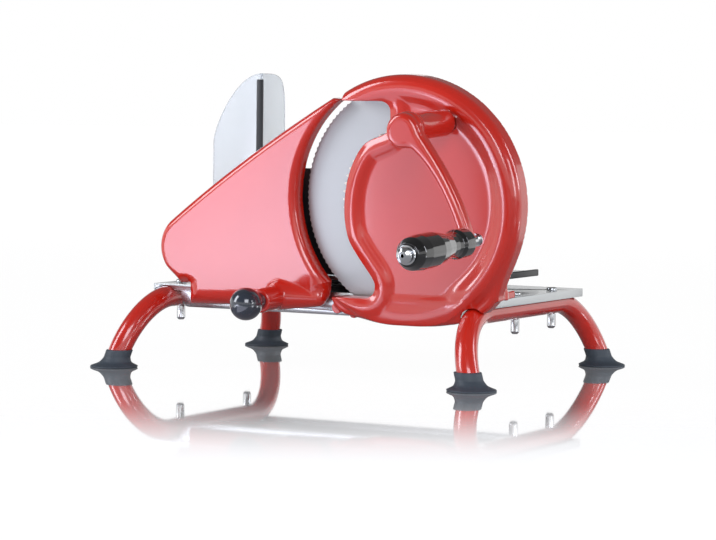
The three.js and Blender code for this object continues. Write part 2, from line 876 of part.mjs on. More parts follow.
put(head, 'axle_screw', axleScrewPiece(), brightSteel, bladeX, 0, 0);

// Crank shaft, pinion and bush
const pinionPhase = crankDirection + Math.PI + Math.PI / pinionTeeth;
const pinionBody = cut(
  slab(gearShape(pinionTeeth, pinionFlankShares, pinionPhase), pinion.back, pinion.front),
  rod(shaft.radius + seatGap / 2, pinion.front - overrun, overrun),
);
put(head, 'pinion', pinionBody, brass, crankX, 0, crankZ);
put(head, 'crank_shaft', rod(shaft.radius, shaft.front, shaft.back), brightSteel, crankX, 0, crankZ);

const bushBody = cut(
  rod(bush.radius, bush.front, bush.back),
  rod(boreFor(shaft.radius), bush.front - overrun, bush.back + overrun),
);
put(head, 'crank_bush', bushBody, brightSteel, crankX, 0, crankZ);

// Housing

// Outline of the window, or of a curve that runs beside it in the metal at a distance
function windowPath(grow, Kind, left, topLeft = left) {
  const corner = opening.cornerRadius;
  const cornerX = opening.right - corner;
  const upperZ = opening.top - corner;
  const meet = opening.arcRadius + corner;
  const lowerZ = Math.sqrt(meet ** 2 - cornerX ** 2);
  const lowZ = opening.lowRadius - opening.bottom;
  const lowX = -Math.sqrt((opening.arcRadius + opening.lowRadius) ** 2 - lowZ ** 2);
  const upperTurn = Math.atan2(lowerZ, cornerX);
  const lowTurn = Math.atan2(lowZ, lowX);
  const path = new Kind();
  path.moveTo(left, -opening.bottom - grow);
  path.lineTo(lowX, -opening.bottom - grow);
  path.absarc(lowX, lowZ, opening.lowRadius + grow, -quarterTurn, lowTurn + Math.PI, false);
  path.absarc(0, 0, opening.arcRadius - grow, lowTurn + 2 * Math.PI, upperTurn, true);
  path.absarc(cornerX, lowerZ, corner + grow, upperTurn - Math.PI, 0, false);
  path.absarc(cornerX, upperZ, corner + grow, 0, quarterTurn, false);
  path.lineTo(topLeft, opening.top + grow);
  return path;
}

// A flat path lifted into the head's x and z
class LiftedPath extends FlatCurve {
  constructor(path) {
    super(new THREE.Vector3(0, 1, 0));
    this.path = path;
  }

  getPoint(t, target = new THREE.Vector3()) {
    const point = this.path.getPointAt(t);
    return target.set(point.x, 0, point.y);
  }
}

// The rolled edge along the window, round in front and open behind
function windowBead() {
  const half = opening.beadHalf;
  const section = new THREE.Shape();
  section.moveTo(-half, -opening.beadBack);
  section.lineTo(-half, -opening.beadFront);
  section.absarc(0, -opening.beadFront, half, Math.PI, 2 * Math.PI, false);
  section.lineTo(half, -opening.beadBack);
  const lipStart = opening.lipStart + half;
  const beadEnd = opening.right - opening.cornerRadius - half;
  const extrudePath = new LiftedPath(windowPath(half, THREE.Path, lipStart, beadEnd));
  return new THREE.ExtrudeGeometry(section, { steps: opening.beadSteps, curveSegments: 3, extrudePath });
}

function housingPan() {
  const ring = housingRadius - housing.beadRadius;
  const outerTurn = Math.asin((housing.faceDepth - housing.beadDepth) / housing.beadRadius);
  const insideDepth = housing.faceDepth - housing.wall;
  const insideRadius = housing.beadRadius - housing.wall;
  const innerTurn = Math.asin((insideDepth - housing.beadDepth) / insideRadius);
  const outer = arcPoints(ring, housing.beadDepth, housing.beadRadius, Math.PI - outerTurn, 0, 5);
  const inner = arcPoints(ring, housing.beadDepth, insideRadius, 0, Math.PI - innerTurn, 2);
  const profile = [
    [0, housing.faceDepth],
    ...outer,
    [housingRadius, housing.back],
    [housingRadius - housing.wall, housing.back],
    ...inner,
    [0, insideDepth],
  ];
  return turned(profile.map(([r, depth]) => [r, -depth]), housing.segments).translate(housing.offset, 0, 0);
}

// The foot of the casting, under the ring, with the bulge at its right
function railShape() {
  const f = footRail;
  const shape = new THREE.Shape();
  shape.moveTo(f.left, f.bottomLeft);
  shape.quadraticCurveTo(f.dipX, f.dipZ, f.rightX, f.rightZ);
  shape.quadraticCurveTo(f.bulgeX - f.inside / 2, f.bulgeZ - f.inside, f.bulgeX, f.bulgeZ);
  shape.quadraticCurveTo(f.cheekX, f.cheekZ, f.mergeX, f.mergeZ);
  shape.lineTo(f.mergeX - f.inside, f.mergeZ);
  shape.lineTo(f.bulgeX - 2 * f.inside, f.top);
  shape.lineTo(f.left, f.top);
  return shape;
}

function housingPiece() {
  const bevel = {
    bevelEnabled: true,
    bevelSize: footRail.edge,
    bevelThickness: footRail.edge,
    bevelOffset: -footRail.edge,
    bevelSegments: 1,
    curveSegments: 6,
  };
  const footRailBody = slab(railShape(), -housing.back, footRail.edge - footRail.depth, bevel);
  const skirtShape = windowPath(opening.skirt, THREE.Shape, -opening.reach);
  const skirtBand = slab(skirtShape, -housing.back, -housing.faceDepth);
  const skirt = common(skirtBand, rod(housingRadius - housing.wall, -housing.faceDepth, -housing.back));
  const lipEnd = new THREE.SphereGeometry(opening.beadHalf, 12, 8);
  const lipMiddle = -opening.bottom - opening.beadHalf;
  lipEnd.translate(opening.lipStart + opening.beadHalf, -opening.beadFront, lipMiddle);
  const padBody = intoHead(block(
    Math.min(bladeX + pad.armLeft, padScrewX - pad.edge),
    Math.max(bladeX + pad.armRight, padScrewX + pad.edge),
    plate.front + seatGap,
    plate.front + pad.depth,
    plateTop + seatGap,
    plateTop + seatGap + pad.thickness,
  )).translate(-bladeX, 0, 0);
  const armFront = -housing.beadDepth;
  const padArm = block(pad.armLeft, pad.armRight, armFront, pad.armDepth, -bladeHeight, pad.armTop);
  const bosses = [
    rod(axle.radius + 2 * housing.wall, -housing.faceDepth, gear.front - 2 * seatGap),
    rod(bush.bossRadius, -housing.faceDepth, bush.bossBack).translate(crankX - bladeX, 0, crankZ),
    ...flangeScrewPlaces.map(({ x, z }) => rod(flangeScrew.bossRadius, armFront, foldGap - seatGap)
      .translate(x, 0, z)),
  ];
  const body = joined(housingPan(), windowBead(), footRailBody, skirt, lipEnd, padBody, padArm, ...bosses);
  const before = -housing.faceDepth - 3 * overrun;
  const windowRoom = slab(windowPath(0, THREE.Shape, -opening.reach), overrun, before);
  const baseRoom = intoHead(block(
    -wide,
    wide,
    plate.front - seatGap,
    plate.back,
    plateTop - 2 * plate.frontFold,
    plateTop + seatGap,
  )).translate(-bladeX, 0, 0);
  const under = -housingRadius - overrun;
  const bladeRoom = rod(blade.radius + foldGap, -housing.back, foldGap, 2 * roundSides);
  const gearRoom = rod(gearTip + 2 * seatGap, gear.front - seatGap, overrun);
  const pinionTip = (pinionTeeth / 2 + 1) * gearModule;
  const pinionRoom = rod(pinionTip + 2 * seatGap, pinion.front - seatGap, overrun);
  const holes = [
    rod(axle.radius + seatGap, axle.front - seatGap, overrun),
    rod(bush.radius + seatGap, before, overrun).translate(crankX - bladeX, 0, crankZ),
    pinionRoom.translate(crankX - bladeX, 0, crankZ),
    ...flangeScrewPlaces.map((place) => rod(flangeScrew.hole, -flangeScrew.length, overrun, smallSides)
      .translate(place.x, 0, place.z)),
    intoHead(post(padScrew.hole, under, plateTop + pad.thickness + overrun, smallSides)
      .translate(padScrewX, padScrewY, 0)).translate(-bladeX, 0, 0),
  ];
  const tubeRoom = intoHead(archTube(1, tubeRadius + plate.tubeSlot, 0, arch.bend)).translate(-bladeX, 0, 0);
  return cut(body, windowRoom, baseRoom, tubeRoom, bladeRoom, gearRoom, ...holes);
}

put(head, 'housing', housingPiece(), redPaint, bladeX, 0, 0);

for (const place of flangeScrewPlaces) {
  const seat = foldGap + sheet + seatGap;
  const screw = turned([
    [0, seat - flangeScrew.length + foldGap],
    [flangeScrew.radius, seat - flangeScrew.length + foldGap],
    [flangeScrew.radius, seat],
    [flangeScrew.headRadius, seat],
    [flangeScrew.headRadius, seat + flangeScrew.headHeight],
    [0, seat + flangeScrew.headHeight],
  ], smallSides);
  put(head, `housing_screw_${place.name}`, screw, brightSteel, bladeX + place.x, 0, place.z);
}

const padScrewSeat = plateTop + pad.thickness + 2 * seatGap;
const padScrewBody = upright([
  [0, padScrewSeat - padScrew.length],
  [padScrew.radius, padScrewSeat - padScrew.length],
  [padScrew.radius, padScrewSeat],
  [padScrew.headRadius, padScrewSeat],
  [padScrew.headRadius, padScrewSeat + padScrew.headHeight],
  [0, padScrewSeat + padScrew.headHeight],
], smallSides);
put(base, 'housing_pad_screw', padScrewBody, brightSteel, padScrewX, padScrewY, 0);

// Crank arm: a bowed horn from the hub to the handle

function armShape() {
  const line = new THREE.QuadraticBezierCurve(
    new THREE.Vector2(0, 0),
    new THREE.Vector2(arm.bowX, arm.bowZ),
    new THREE.Vector2(handleX, handleZ),
  );
  const outer = [];
  const inner = [];
  for (let i = 0; i <= arm.steps; i += 1) {
    const t = i / arm.steps;
    const tangent = line.getTangent(t);
    const half = THREE.MathUtils.lerp(arm.waist, arm.hubRadius - arm.edge, (1 - t) ** arm.taperPower);
    const side = new THREE.Vector2(-tangent.y, tangent.x).multiplyScalar(half);
    outer.push(line.getPoint(t).add(side));
    inner.push(line.getPoint(t).sub(side));
  }
  const tangent = line.getTangent(1);
  const turn = Math.atan2(tangent.x, -tangent.y);
  const tip = arcPoints(handleX, handleZ, arm.waist, turn, turn - Math.PI, arm.steps / 2).slice(1, -1);
  return new THREE.Shape([...outer, ...tip.map(([x, y]) => new THREE.Vector2(x, y)), ...inner.reverse()]);
}

function crankArm() {
  const horn = slab(armShape(), arm.back - arm.edge, arm.front + arm.edge, {
    bevelEnabled: true,
    bevelSize: arm.edge,
    bevelThickness: arm.edge,
    bevelOffset: -arm.edge,
    bevelSegments: 2,
  });
  const hub = turned([
    [0, arm.back],
    [arm.hubRadius - arm.edge, arm.back],
    [arm.hubRadius, arm.back - arm.edge],
    [arm.hubRadius, arm.front + arm.edge],
    [arm.hubRadius - arm.edge, arm.front],
    [0, arm.front],
  ]);
  const boss = turned([
    [0, arm.bossBack],
    [arm.bossRadius, arm.bossBack],
    [arm.bossRadius, arm.bossFlareStart],
    [arm.bossFlare, arm.back - arm.edge],
    [0, arm.back - arm.edge],
  ]);
  const bore = rod(shaft.radius + seatGap / 2, arm.boreEnd, overrun);
  const handleHole = rod(spindle.radius + seatGap, arm.front - overrun, arm.back + overrun);
  const screwHole = post(setScrew.hole, 0, arm.bossRadius + overrun, smallSides);
  return cut(
    joined(horn, hub, boss),
    bore,
    handleHole.translate(handleX, 0, handleZ),
    screwHole.translate(0, setScrew.place, 0),
  );
}

put(head, 'crank_arm', crankArm(), redPaint, crankX, 0, crankZ);
const setScrewLow = shaft.radius + seatGap;
const setScrewBody = post(setScrew.radius, setScrewLow, setScrewLow + setScrew.length, smallSides);
put(head, 'crank_set_screw', setScrewBody, brightSteel, crankX, setScrew.place, crankZ);

// Handle

const gripStart = arm.front - 2 * seatGap - gripWasher.thickness;
const gripEnd = gripStart - grip.length;

function putOnHandle(name, geometry, finish) {
  put(head, name, geometry, finish, crankX + handleX, 0, crankZ + handleZ);
}

const spindleBody = turned([
  [0, spindle.front],
  [spindle.radius, spindle.front],
  [spindle.radius, arm.back + seatGap],
  [spindle.headRadius, arm.back + seatGap],
  [spindle.headRadius, arm.back + seatGap + spindle.headHeight],
  [0, arm.back + seatGap + spindle.headHeight],
]);
putOnHandle('handle_spindle', spindleBody, brightSteel);

const washerFront = arm.front - seatGap - gripWasher.thickness;
const washerBody = cut(
  rod(gripWasher.radius, washerFront, arm.front - seatGap),
  rod(spindle.radius + seatGap, washerFront - overrun, arm.front + overrun),
);
putOnHandle('grip_washer', washerBody, brightSteel);

// Turned grip: a short collar, a waist and a fat end
function gripBody() {
  const g = grip;
  const swell = new THREE.CubicBezierCurve(
    new THREE.Vector2(g.waistRadius, g.waistPlace + g.edge),
    new THREE.Vector2(g.waistRadius, g.waistPlace + g.collarLength),
    new THREE.Vector2(g.fatRadius, g.fatPlace - g.collarLength),
    new THREE.Vector2(g.fatRadius, g.fatPlace),
  ).getPoints(5).map((point) => [point.x, point.y]);
  const close = new THREE.QuadraticBezierCurve(
    new THREE.Vector2(g.fatRadius, g.fatPlace),
    new THREE.Vector2(g.fatRadius - g.edge, g.length - 2 * g.edge),
    new THREE.Vector2(g.endRadius, g.length),
  ).getPoints(4).slice(1).map((point) => [point.x, point.y]);
  const bore = boreFor(spindle.radius);
  const profile = [
    [bore, 0],
    [g.collarRadius - g.edge, 0],
    [g.collarRadius, g.edge],
    [g.collarRadius, g.collarLength - g.edge],
    [g.waistRadius + g.edge, g.collarLength + 3 * g.edge],
    [g.waistRadius, g.waistPlace - g.edge],
    ...swell,
    ...close,
    [bore, g.length],
    [bore, 0],
  ];
  return turned(profile.map(([r, along]) => [r, gripStart - along]));
}

putOnHandle('grip', gripBody(), blackGloss);

function endCapBody() {
  const c = endCap;
  const start = gripEnd - seatGap;
  const grooveStart = start - c.thickness;
  const grooveEnd = grooveStart - c.grooveWidth;
  const socket = spindle.radius + seatGap / 2;
  return turned([
    [socket, start],
    [c.radius, start],
    [c.radius, grooveStart],
    [c.groove, grooveStart],
    [c.groove, grooveEnd],
    [c.tipRadius, grooveEnd],
    [c.tipRadius, grooveEnd - c.tipLength / 2],
    [c.tipRadius / 2, grooveEnd - c.tipLength],
    [0, grooveEnd - c.tipLength],
    [0, grooveEnd],
    [socket, grooveEnd],
    [socket, start],
  ]);
}

putOnHandle('grip_end_cap', endCapBody(), brightSteel);

// Gauge plate

// The outline, or the part of it that ends before the thin tip
function gaugeShape(arcEnd, skipped) {
  const g = gauge;
  const arcRadius = blade.radius + g.bladeGap;
  const endAngle = Math.PI - Math.asin(arcEnd / arcRadius);
  const startAngle = Math.PI - Math.asin(g.arcStart / arcRadius);
  const [[noseX, noseZ]] = arcPoints(g.noseX, g.noseZ, g.noseRadius, g.noseStart, g.noseStart, 1);
  const crest = new THREE.QuadraticBezierCurve(
    new THREE.Vector2(g.tipX, g.tipZ),
    new THREE.Vector2(g.crestX, g.crestZ),
    new THREE.Vector2(noseX, noseZ),
  );
  const shape = new THREE.Shape();
  shape.moveTo(g.bottomX, g.bottomZ);
  shape.quadraticCurveTo(g.cornerX, g.cornerZ, bladeX + arcRadius * Math.cos(startAngle), g.arcStart);
  shape.absarc(bladeX, 0, arcRadius, startAngle, endAngle, true);
  crest.getPoints(g.crestSteps).slice(skipped).forEach((point) => shape.lineTo(point.x, point.y));
  shape.absarc(g.noseX, g.noseZ, g.noseRadius, g.noseStart, g.noseEnd, false);
  shape.lineTo(g.stepLeft, g.stepZ);
  shape.lineTo(g.stepRight, g.stepZ);
  shape.lineTo(g.stepRight, g.bottomLeftZ);
  shape.quadraticCurveTo(g.sagX, g.sagZ, g.bottomX, g.bottomZ);
  return shape;
}

function gaugePlate() {
  const g = gauge;
  const rounded = slab(gaugeShape(g.bluntArc, 1), g.back + g.edgeDepth, g.front + g.edgeDepth, {
    bevelEnabled: true,
    bevelSize: g.edge,
    bevelThickness: g.edgeDepth,
    bevelOffset: -g.edge,
    bevelSegments: 2,
  });
  const whole = slab(gaugeShape(g.tipArc, 0), g.back, g.front + g.edgeDepth);
  const boss = turned([
    [0, g.back],
    [adjuster.bossRadius, g.back],
    [adjuster.bossRadius, adjuster.bossFront + g.edge / 2],
    [adjuster.bossRadius - g.edge / 2, adjuster.bossFront],
    [0, adjuster.bossFront],
  ]).translate(adjuster.x, 0, adjusterZ);
  const behind = block(-wide, wide, g.back, g.back + 4 * overrun, -wide, wide);
  const rimRoom = rod(housingRadius + foldGap, g.front - overrun, overrun, 3 * roundSides)
    .translate(bladeX + housing.offset, 0, 0);
  const high = block(-wide, wide, g.front - overrun, overrun, opening.top - overrun, wide);
  const tipRoom = common(rimRoom, high);
  const pocket = rod(adjuster.collarRadius + seatGap, g.back - adjuster.pocketDepth, overrun);
  const bore = rod(boreFor(adjuster.spindleRadius), adjuster.bossFront - overrun, overrun);
  const pinHoleRadius = guidePin.radius + seatGap / 2;
  const pinHoleEnd = guidePin.front - seatGap;
  const pinHoles = Object.values(guidePinXs)
    .map((x) => rod(pinHoleRadius, pinHoleEnd, overrun, smallSides).translate(x, 0, guidePinZ));
  const spindleCuts = [pocket, bore].map((tool) => tool.translate(adjuster.x, 0, adjusterZ));
  return cut(joined(rounded, whole, boss), behind, tipRoom, ...spindleCuts, ...pinHoles);
}

put(head, 'gauge_plate', gaugePlate(), redPaint);

for (const [name, x] of Object.entries(guidePinXs)) {
  const seat = foldGap + sheet + seatGap;
  const bushProfile = [
    [boreFor(guidePin.radius, smallSides), foldGap],
    [pinBush.radius, foldGap],
    [pinBush.radius, seat],
    [pinBush.flangeRadius, seat],
    [pinBush.flangeRadius, seat + pinBush.flangeDepth],
    [pinBush.radius, seat + pinBush.flangeDepth],
    [pinBush.radius, foldGap + pinBush.length],
    [boreFor(guidePin.radius, smallSides), foldGap + pinBush.length],
    [boreFor(guidePin.radius, smallSides), foldGap],
  ];
  const pin = rod(guidePin.radius, guidePin.front, guidePin.back, smallSides);
  put(head, `${name}_guide_pin`, pin, brightSteel, x, 0, guidePinZ);
  put(head, `${name}_pin_bush`, turned(bushProfile, smallSides), brass, x, 0, guidePinZ);
}

// Adjuster: spindle with a collar that a ring keeps in the plate, ball knob and nut
function putAtAdjuster(name, geometry, finish) {
  put(head, name, geometry, finish, adjuster.x, 0, adjusterZ);
}

const collarFront = gauge.back - adjuster.pocketDepth + seatGap;
const collarBack = collarFront + adjuster.collarDepth;
const spindleScrew = turned([
  [0, adjuster.spindleFront],
  [adjuster.spindleRadius, adjuster.spindleFront],
  [adjuster.spindleRadius, collarFront],
  [adjuster.collarRadius, collarFront],
  [adjuster.collarRadius, collarBack],
  [adjuster.spindleRadius, collarBack],
  [adjuster.spindleRadius, adjuster.spindleBack],
  [0, adjuster.spindleBack],
]);
putAtAdjuster('adjusting_spindle', spindleScrew, brightSteel);

const retainerFront = collarBack + seatGap;
const retainerBody = cut(
  rod(adjuster.collarRadius, retainerFront, retainerFront + adjuster.retainerDepth),
  rod(boreFor(adjuster.spindleRadius), retainerFront - overrun, overrun),
);
putAtAdjuster('spindle_retainer', retainerBody, brightSteel);

function ballKnob() {
  const start = adjuster.bossFront - seatGap;
  const neckTurn = Math.acos(knob.neckRadius / knob.radius);
  const ball = arcPoints(0, knob.centre, knob.radius, neckTurn, -quarterTurn, 7);
  const tip = [0, knob.centre - knob.radius];
  const profile = [[0, start], [knob.neckRadius, start], ...ball.slice(0, -1), tip];
  const bore = rod(adjuster.spindleRadius + seatGap / 2, adjuster.spindleFront - seatGap, overrun);
  return cut(turned(profile, knob.sides), bore);
}

putAtAdjuster('adjusting_knob', ballKnob(), bluePlastic);

const nutSeat = foldGap + sheet + seatGap;
const spindleNutBody = turned([
  [spindleNut.bore, foldGap],
  [spindleNut.radius, foldGap],
  [spindleNut.radius, nutSeat],
  [spindleNut.flangeRadius, nutSeat],
  [spindleNut.flangeRadius, nutSeat + spindleNut.flangeDepth],
  [spindleNut.bodyRadius, nutSeat + spindleNut.flangeDepth],
  [spindleNut.bodyRadius, foldGap + spindleNut.length],
  [spindleNut.bore, foldGap + spindleNut.length],
  [spindleNut.bore, foldGap],
]);
putAtAdjuster('spindle_nut', spindleNutBody, brass);

// Rail and carriage

// A closed outline in y and z, extruded along x
function along(points, x0, x1) {
  const shape = new THREE.Shape(points.map(([y, z]) => new THREE.Vector2(y, z)));
  const geometry = new THREE.ExtrudeGeometry(shape, { depth: x1 - x0, bevelEnabled: false });
  const turn = new THREE.Matrix4().makeBasis(
    new THREE.Vector3(0, 1, 0),
    new THREE.Vector3(0, 0, 1),
    new THREE.Vector3(1, 0, 0),
  );
  return closed(geometry.applyMatrix4(turn).translate(x0, 0, 0));
}

// Countersunk screw standing on z, its head flush below a height
function countersunk(size, top) {
  const cone = size.headRadius - size.radius;
  return upright([
    [0, top - size.length],
    [size.radius, top - size.length],
    [size.radius, top - cone],
    [size.headRadius, top],
    [0, top],
  ], smallSides);
}

function grown(size, gap) {
  const reach = gap + overrun;
  return { headRadius: size.headRadius + reach, radius: size.radius + gap, length: size.length + reach };
}

const railLow = plateTop + seatGap;
const railNeck = railLow + rail.stemHeight;
const railProfile = [
  [-rail.stem / 2, railLow],
  [rail.stem / 2, railLow],
  [rail.stem / 2, railNeck],
  [rail.head / 2, railNeck],
  [rail.head / 2, railHeadTop],
  [-rail.head / 2, railHeadTop],
  [-rail.head / 2, railNeck],
  [-rail.stem / 2, railNeck],
];
const sunkRoom = (size, top, x, y) => countersunk(grown(size, seatGap), top + overrun).translate(x, y, 0);
const railSinks = railScrewPlaces().map((x) => sunkRoom(railScrew, railHeadTop, x, 0));
const railBody = cut(along(railProfile, railLeft, railRight), ...railSinks);
put(base, 'guide_rail', railBody, stainless, 0, rail.y, 0);
railScrewPlaces().forEach((x, i) => {
  const screw = countersunk(railScrew, railHeadTop - railScrew.sink);
  put(base, `rail_screw_${i ? 'right' : 'left'}`, screw, brightSteel, x, rail.y, 0);
});

const runnerTop = trayUnder - seatGap;
const slotHalfWidth = rail.head / 2 + runner.gap;
const slotTop = railHeadTop + runner.gap;
const lipHalf = rail.stem / 2 + runner.gap;
const runnerLow = railNeck - runner.gap - (runner.lip - 2 * runner.gap);
const runnerProfile = [
  [-runner.width / 2, runnerLow],
  [-lipHalf, runnerLow],
  [-lipHalf, railNeck - runner.gap],
  [-slotHalfWidth, railNeck - runner.gap],
  [-slotHalfWidth, slotTop],
  [slotHalfWidth, slotTop],
  [slotHalfWidth, railNeck - runner.gap],
  [lipHalf, railNeck - runner.gap],
  [lipHalf, runnerLow],
  [runner.width / 2, runnerLow],
  [runner.width / 2, runnerTop],
  [-runner.width / 2, runnerTop],
];
const trayScrewAt = Object.entries(traySinkXs);
const runnerHoles = trayScrewAt
  .map(([, x]) => post(traySink.hole, railNeck, runnerTop + overrun, smallSides).translate(x, 0, 0));
const runnerBody = cut(along(runnerProfile, runner.left, runner.left + runner.length), ...runnerHoles);
put(base, 'runner', runnerBody, blackPlastic, 0, rail.y, 0);

function rivetHoles(low, high) {
  return Object.values(rivetYs)
    .map((y) => post(rivet.hole, low - overrun, high + overrun, smallSides).translate(rivetX, y, 0));
}

function trayPiece() {
  const t = tray;
  const low = t.height - t.fold;
  const outer = block(t.left, t.right, t.front, t.back, low, t.height);
  const inner = block(
    t.left + t.sheet,
    t.right - t.sheet,
    t.front + t.sheet,
    t.back - t.sheet,
    low - overrun,
    trayUnder,
  );
  const sinks = trayScrewAt.map(([, x]) => sunkRoom(traySink, t.height, x, rail.y));
  return cut(outer, inner, ...sinks, ...rivetHoles(low, t.height));
}

const rivetX = tray.left + wall.rivetInset;
put(base, 'tray', trayPiece(), stainless);
trayScrewAt.forEach(([name, x]) => {
  const screw = countersunk(traySink, tray.height);
  put(base, `tray_screw_${name}`, screw, brightSteel, x, rail.y, 0);
});

// Pusher wall: a side wall in y and z, a thumb guard in x and z, and a foot on the tray
function pusherWall() {
  const w = wall;
  const x1 = tray.left + w.thickness;
  const low = tray.height + seatGap;
  const front = tray.front - w.thickness;
  const finBack = tray.front + w.finDepth;
  const side = new THREE.Shape();
  side.moveTo(front, low);
  side.lineTo(tray.back, low);
  side.lineTo(tray.back, w.low - w.rearRadius);
  side.absarc(tray.back - w.rearRadius, w.low - w.rearRadius, w.rearRadius, 0, quarterTurn, false);
  side.lineTo(finBack, w.low);
  side.lineTo(finBack, w.finShoulder);
  side.bezierCurveTo(finBack, w.top, finBack - w.thickness, w.top, front, w.top);
  const turn = new THREE.Matrix4().makeBasis(
    new THREE.Vector3(0, 1, 0),
    new THREE.Vector3(0, 0, 1),
    new THREE.Vector3(1, 0, 0),
  );
  const options = { depth: w.thickness, bevelEnabled: false, curveSegments: 6 };
  const sideWall = new THREE.ExtrudeGeometry(side, options);
  sideWall.applyMatrix4(turn).translate(tray.left, 0, 0);
  const guardLeft = tray.left - w.guardWidth;
  const guard = new THREE.Shape();
  guard.moveTo(x1, w.top);
  const shoulderPull = w.guardShoulder + w.footWidth;
  const crown = guardLeft + w.guardWidth / 2;
  guard.bezierCurveTo(crown, w.top, guardLeft, shoulderPull, guardLeft, w.guardShoulder);
  guard.lineTo(guardLeft, w.guardLow);
  guard.quadraticCurveTo(guardLeft, w.guardFoot, x1, w.guardFoot);
  const guardWall = slab(guard, tray.front, front, { curveSegments: 8 });
  const footTop = low + w.thickness;
  const footPlate = block(tray.left, tray.left + w.footWidth, w.footFront, w.footBack, low, footTop);
  return cut(joined(sideWall, guardWall, footPlate), ...rivetHoles(low, footTop));
}

put(base, 'pusher_wall', pusherWall(), clearPlastic);

Object.entries(rivetYs).forEach(([name, y]) => {
  const top = tray.height + 2 * seatGap + wall.thickness;
  const low = trayUnder - seatGap;
  const body = upright([
    [0, low - rivet.headHeight],
    [rivet.headRadius, low - rivet.headHeight],
    [rivet.headRadius, low],
    [rivet.radius, low],
    [rivet.radius, top],
    [rivet.headRadius, top],
    [rivet.headRadius, top + rivet.headHeight],
    [0, top + rivet.headHeight],
  ], smallSides);
  put(base, `wall_rivet_${name}`, body, brightSteel, rivetX, y, 0);
});

const stripLeft = tray.left + wall.thickness / 2 - strip.width / 2;
const stripBack = tray.front - wall.thickness - seatGap;
const stripBody = block(
  stripLeft,
  stripLeft + strip.width,
  stripBack - strip.depth,
  stripBack,
  strip.bottom,
  strip.top,
);
put(base, 'corner_strip', stripBody, blackPlastic);

const trimLeft = tray.right + seatGap;
const trimBody = block(trimLeft, trimLeft + trim.thickness, trim.front, tray.back, trim.bottom, trim.top);
put(base, 'tray_edge_trim', trimBody, blackPlastic);

// Remnant holder
function holderPiece() {
  const h = holder;
  const r = h.corner;
  const shape = new THREE.Shape();
  shape.moveTo(h.left, h.notchTop);
  shape.lineTo(h.notchRight, h.notchTop);
  shape.lineTo(h.notchRight, h.bottom);
  shape.lineTo(h.right, h.bottom);
  shape.lineTo(h.right, h.top - r);
  shape.absarc(h.right - r, h.top - r, r, 0, quarterTurn, false);
  shape.lineTo(h.left, h.top);
  const back = h.front + h.thickness;
  const face = slab(shape, back, h.front, { curveSegments: 5 });
  const armBody = block(h.left, h.clipRight, h.front, h.clipBack, h.armBottom, h.armTop);
  const clip = block(h.clipLeft, h.clipRight, h.clipFront, h.clipBack, h.clipBottom, h.clipTop);
  const slot = block(
    tray.left - h.slotGap,
    tray.left + wall.thickness + h.slotGap,
    h.clipFront - overrun,
    h.clipBack + overrun,
    h.clipBottom - overrun,
    wall.low + h.slotGap,
  );
  const spikes = [];
  for (let row = 0; row < h.spikeRows; row += 1) {
    for (let i = 0; i < h.spikes; i += 1) {
      const x = THREE.MathUtils.lerp(h.left, h.right, (i + 1) / (h.spikes + 1));
      const z = THREE.MathUtils.lerp(h.bottom, h.top, (row + 1) / (h.spikeRows + 1));
      const cone = turned([
        [0, h.front - h.spikeHeight],
        [h.spikeRadius, h.front],
        [h.spikeRadius, back],
        [0, back],
      ], h.spikeSides);
      spikes.push(cone.translate(x, 0, z));
    }
  }
  return cut(joined(face, armBody, clip, ...spikes), slot);
}

put(base, 'remnant_holder', holderPiece(), blackPlastic);

// The origin is the middle of the part's box, on the ground
const standing = new THREE.Group();
standing.add(base, head);
standing.updateMatrixWorld(true);
const bounds = new THREE.Box3().setFromObject(standing, true);
const middle = bounds.getCenter(new THREE.Vector3());
standing.position.set(-middle.x, -middle.y, -bounds.min.z);

const slicer = new THREE.Group();
slicer.add(standing);

export default slicer;
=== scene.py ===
import json
import math

import bmesh
import bpy
import numpy as np
from mathutils import Matrix, Vector


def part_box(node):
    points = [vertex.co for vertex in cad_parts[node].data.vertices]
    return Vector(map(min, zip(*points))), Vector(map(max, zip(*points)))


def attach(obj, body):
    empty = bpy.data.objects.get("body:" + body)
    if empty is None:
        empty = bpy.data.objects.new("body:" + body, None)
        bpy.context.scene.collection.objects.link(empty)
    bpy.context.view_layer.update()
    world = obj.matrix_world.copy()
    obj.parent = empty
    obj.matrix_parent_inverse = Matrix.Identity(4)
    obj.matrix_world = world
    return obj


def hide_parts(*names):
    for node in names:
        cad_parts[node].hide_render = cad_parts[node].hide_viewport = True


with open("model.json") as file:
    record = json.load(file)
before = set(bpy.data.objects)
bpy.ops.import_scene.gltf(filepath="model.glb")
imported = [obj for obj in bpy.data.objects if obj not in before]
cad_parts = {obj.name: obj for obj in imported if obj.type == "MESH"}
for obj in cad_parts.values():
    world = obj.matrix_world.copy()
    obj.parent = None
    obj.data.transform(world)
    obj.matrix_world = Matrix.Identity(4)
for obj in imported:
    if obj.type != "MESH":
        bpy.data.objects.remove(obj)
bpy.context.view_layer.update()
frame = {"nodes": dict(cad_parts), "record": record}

# Lengths are in millimetres and in the slicer's own frame, whose origin is midway
# between the feet on the ground; toFrame brings points into the CAD frame.
millimetre = 0.001
footNodes = ["left_front_foot", "left_rear_foot", "right_front_foot", "right_rear_foot"]
footBoxes = [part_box(name) for name in footNodes]
middleOfFeet = sum(((low + high) / 2 for low, high in footBoxes), Vector()) / len(footBoxes)
toFrame = Matrix.Translation((middleOfFeet.x, middleOfFeet.y, 0)) @ Matrix.Scale(millimetre, 4)
upright = Matrix.Rotation(math.pi / 2, 4, "X")  # what is turned about y, set up along z

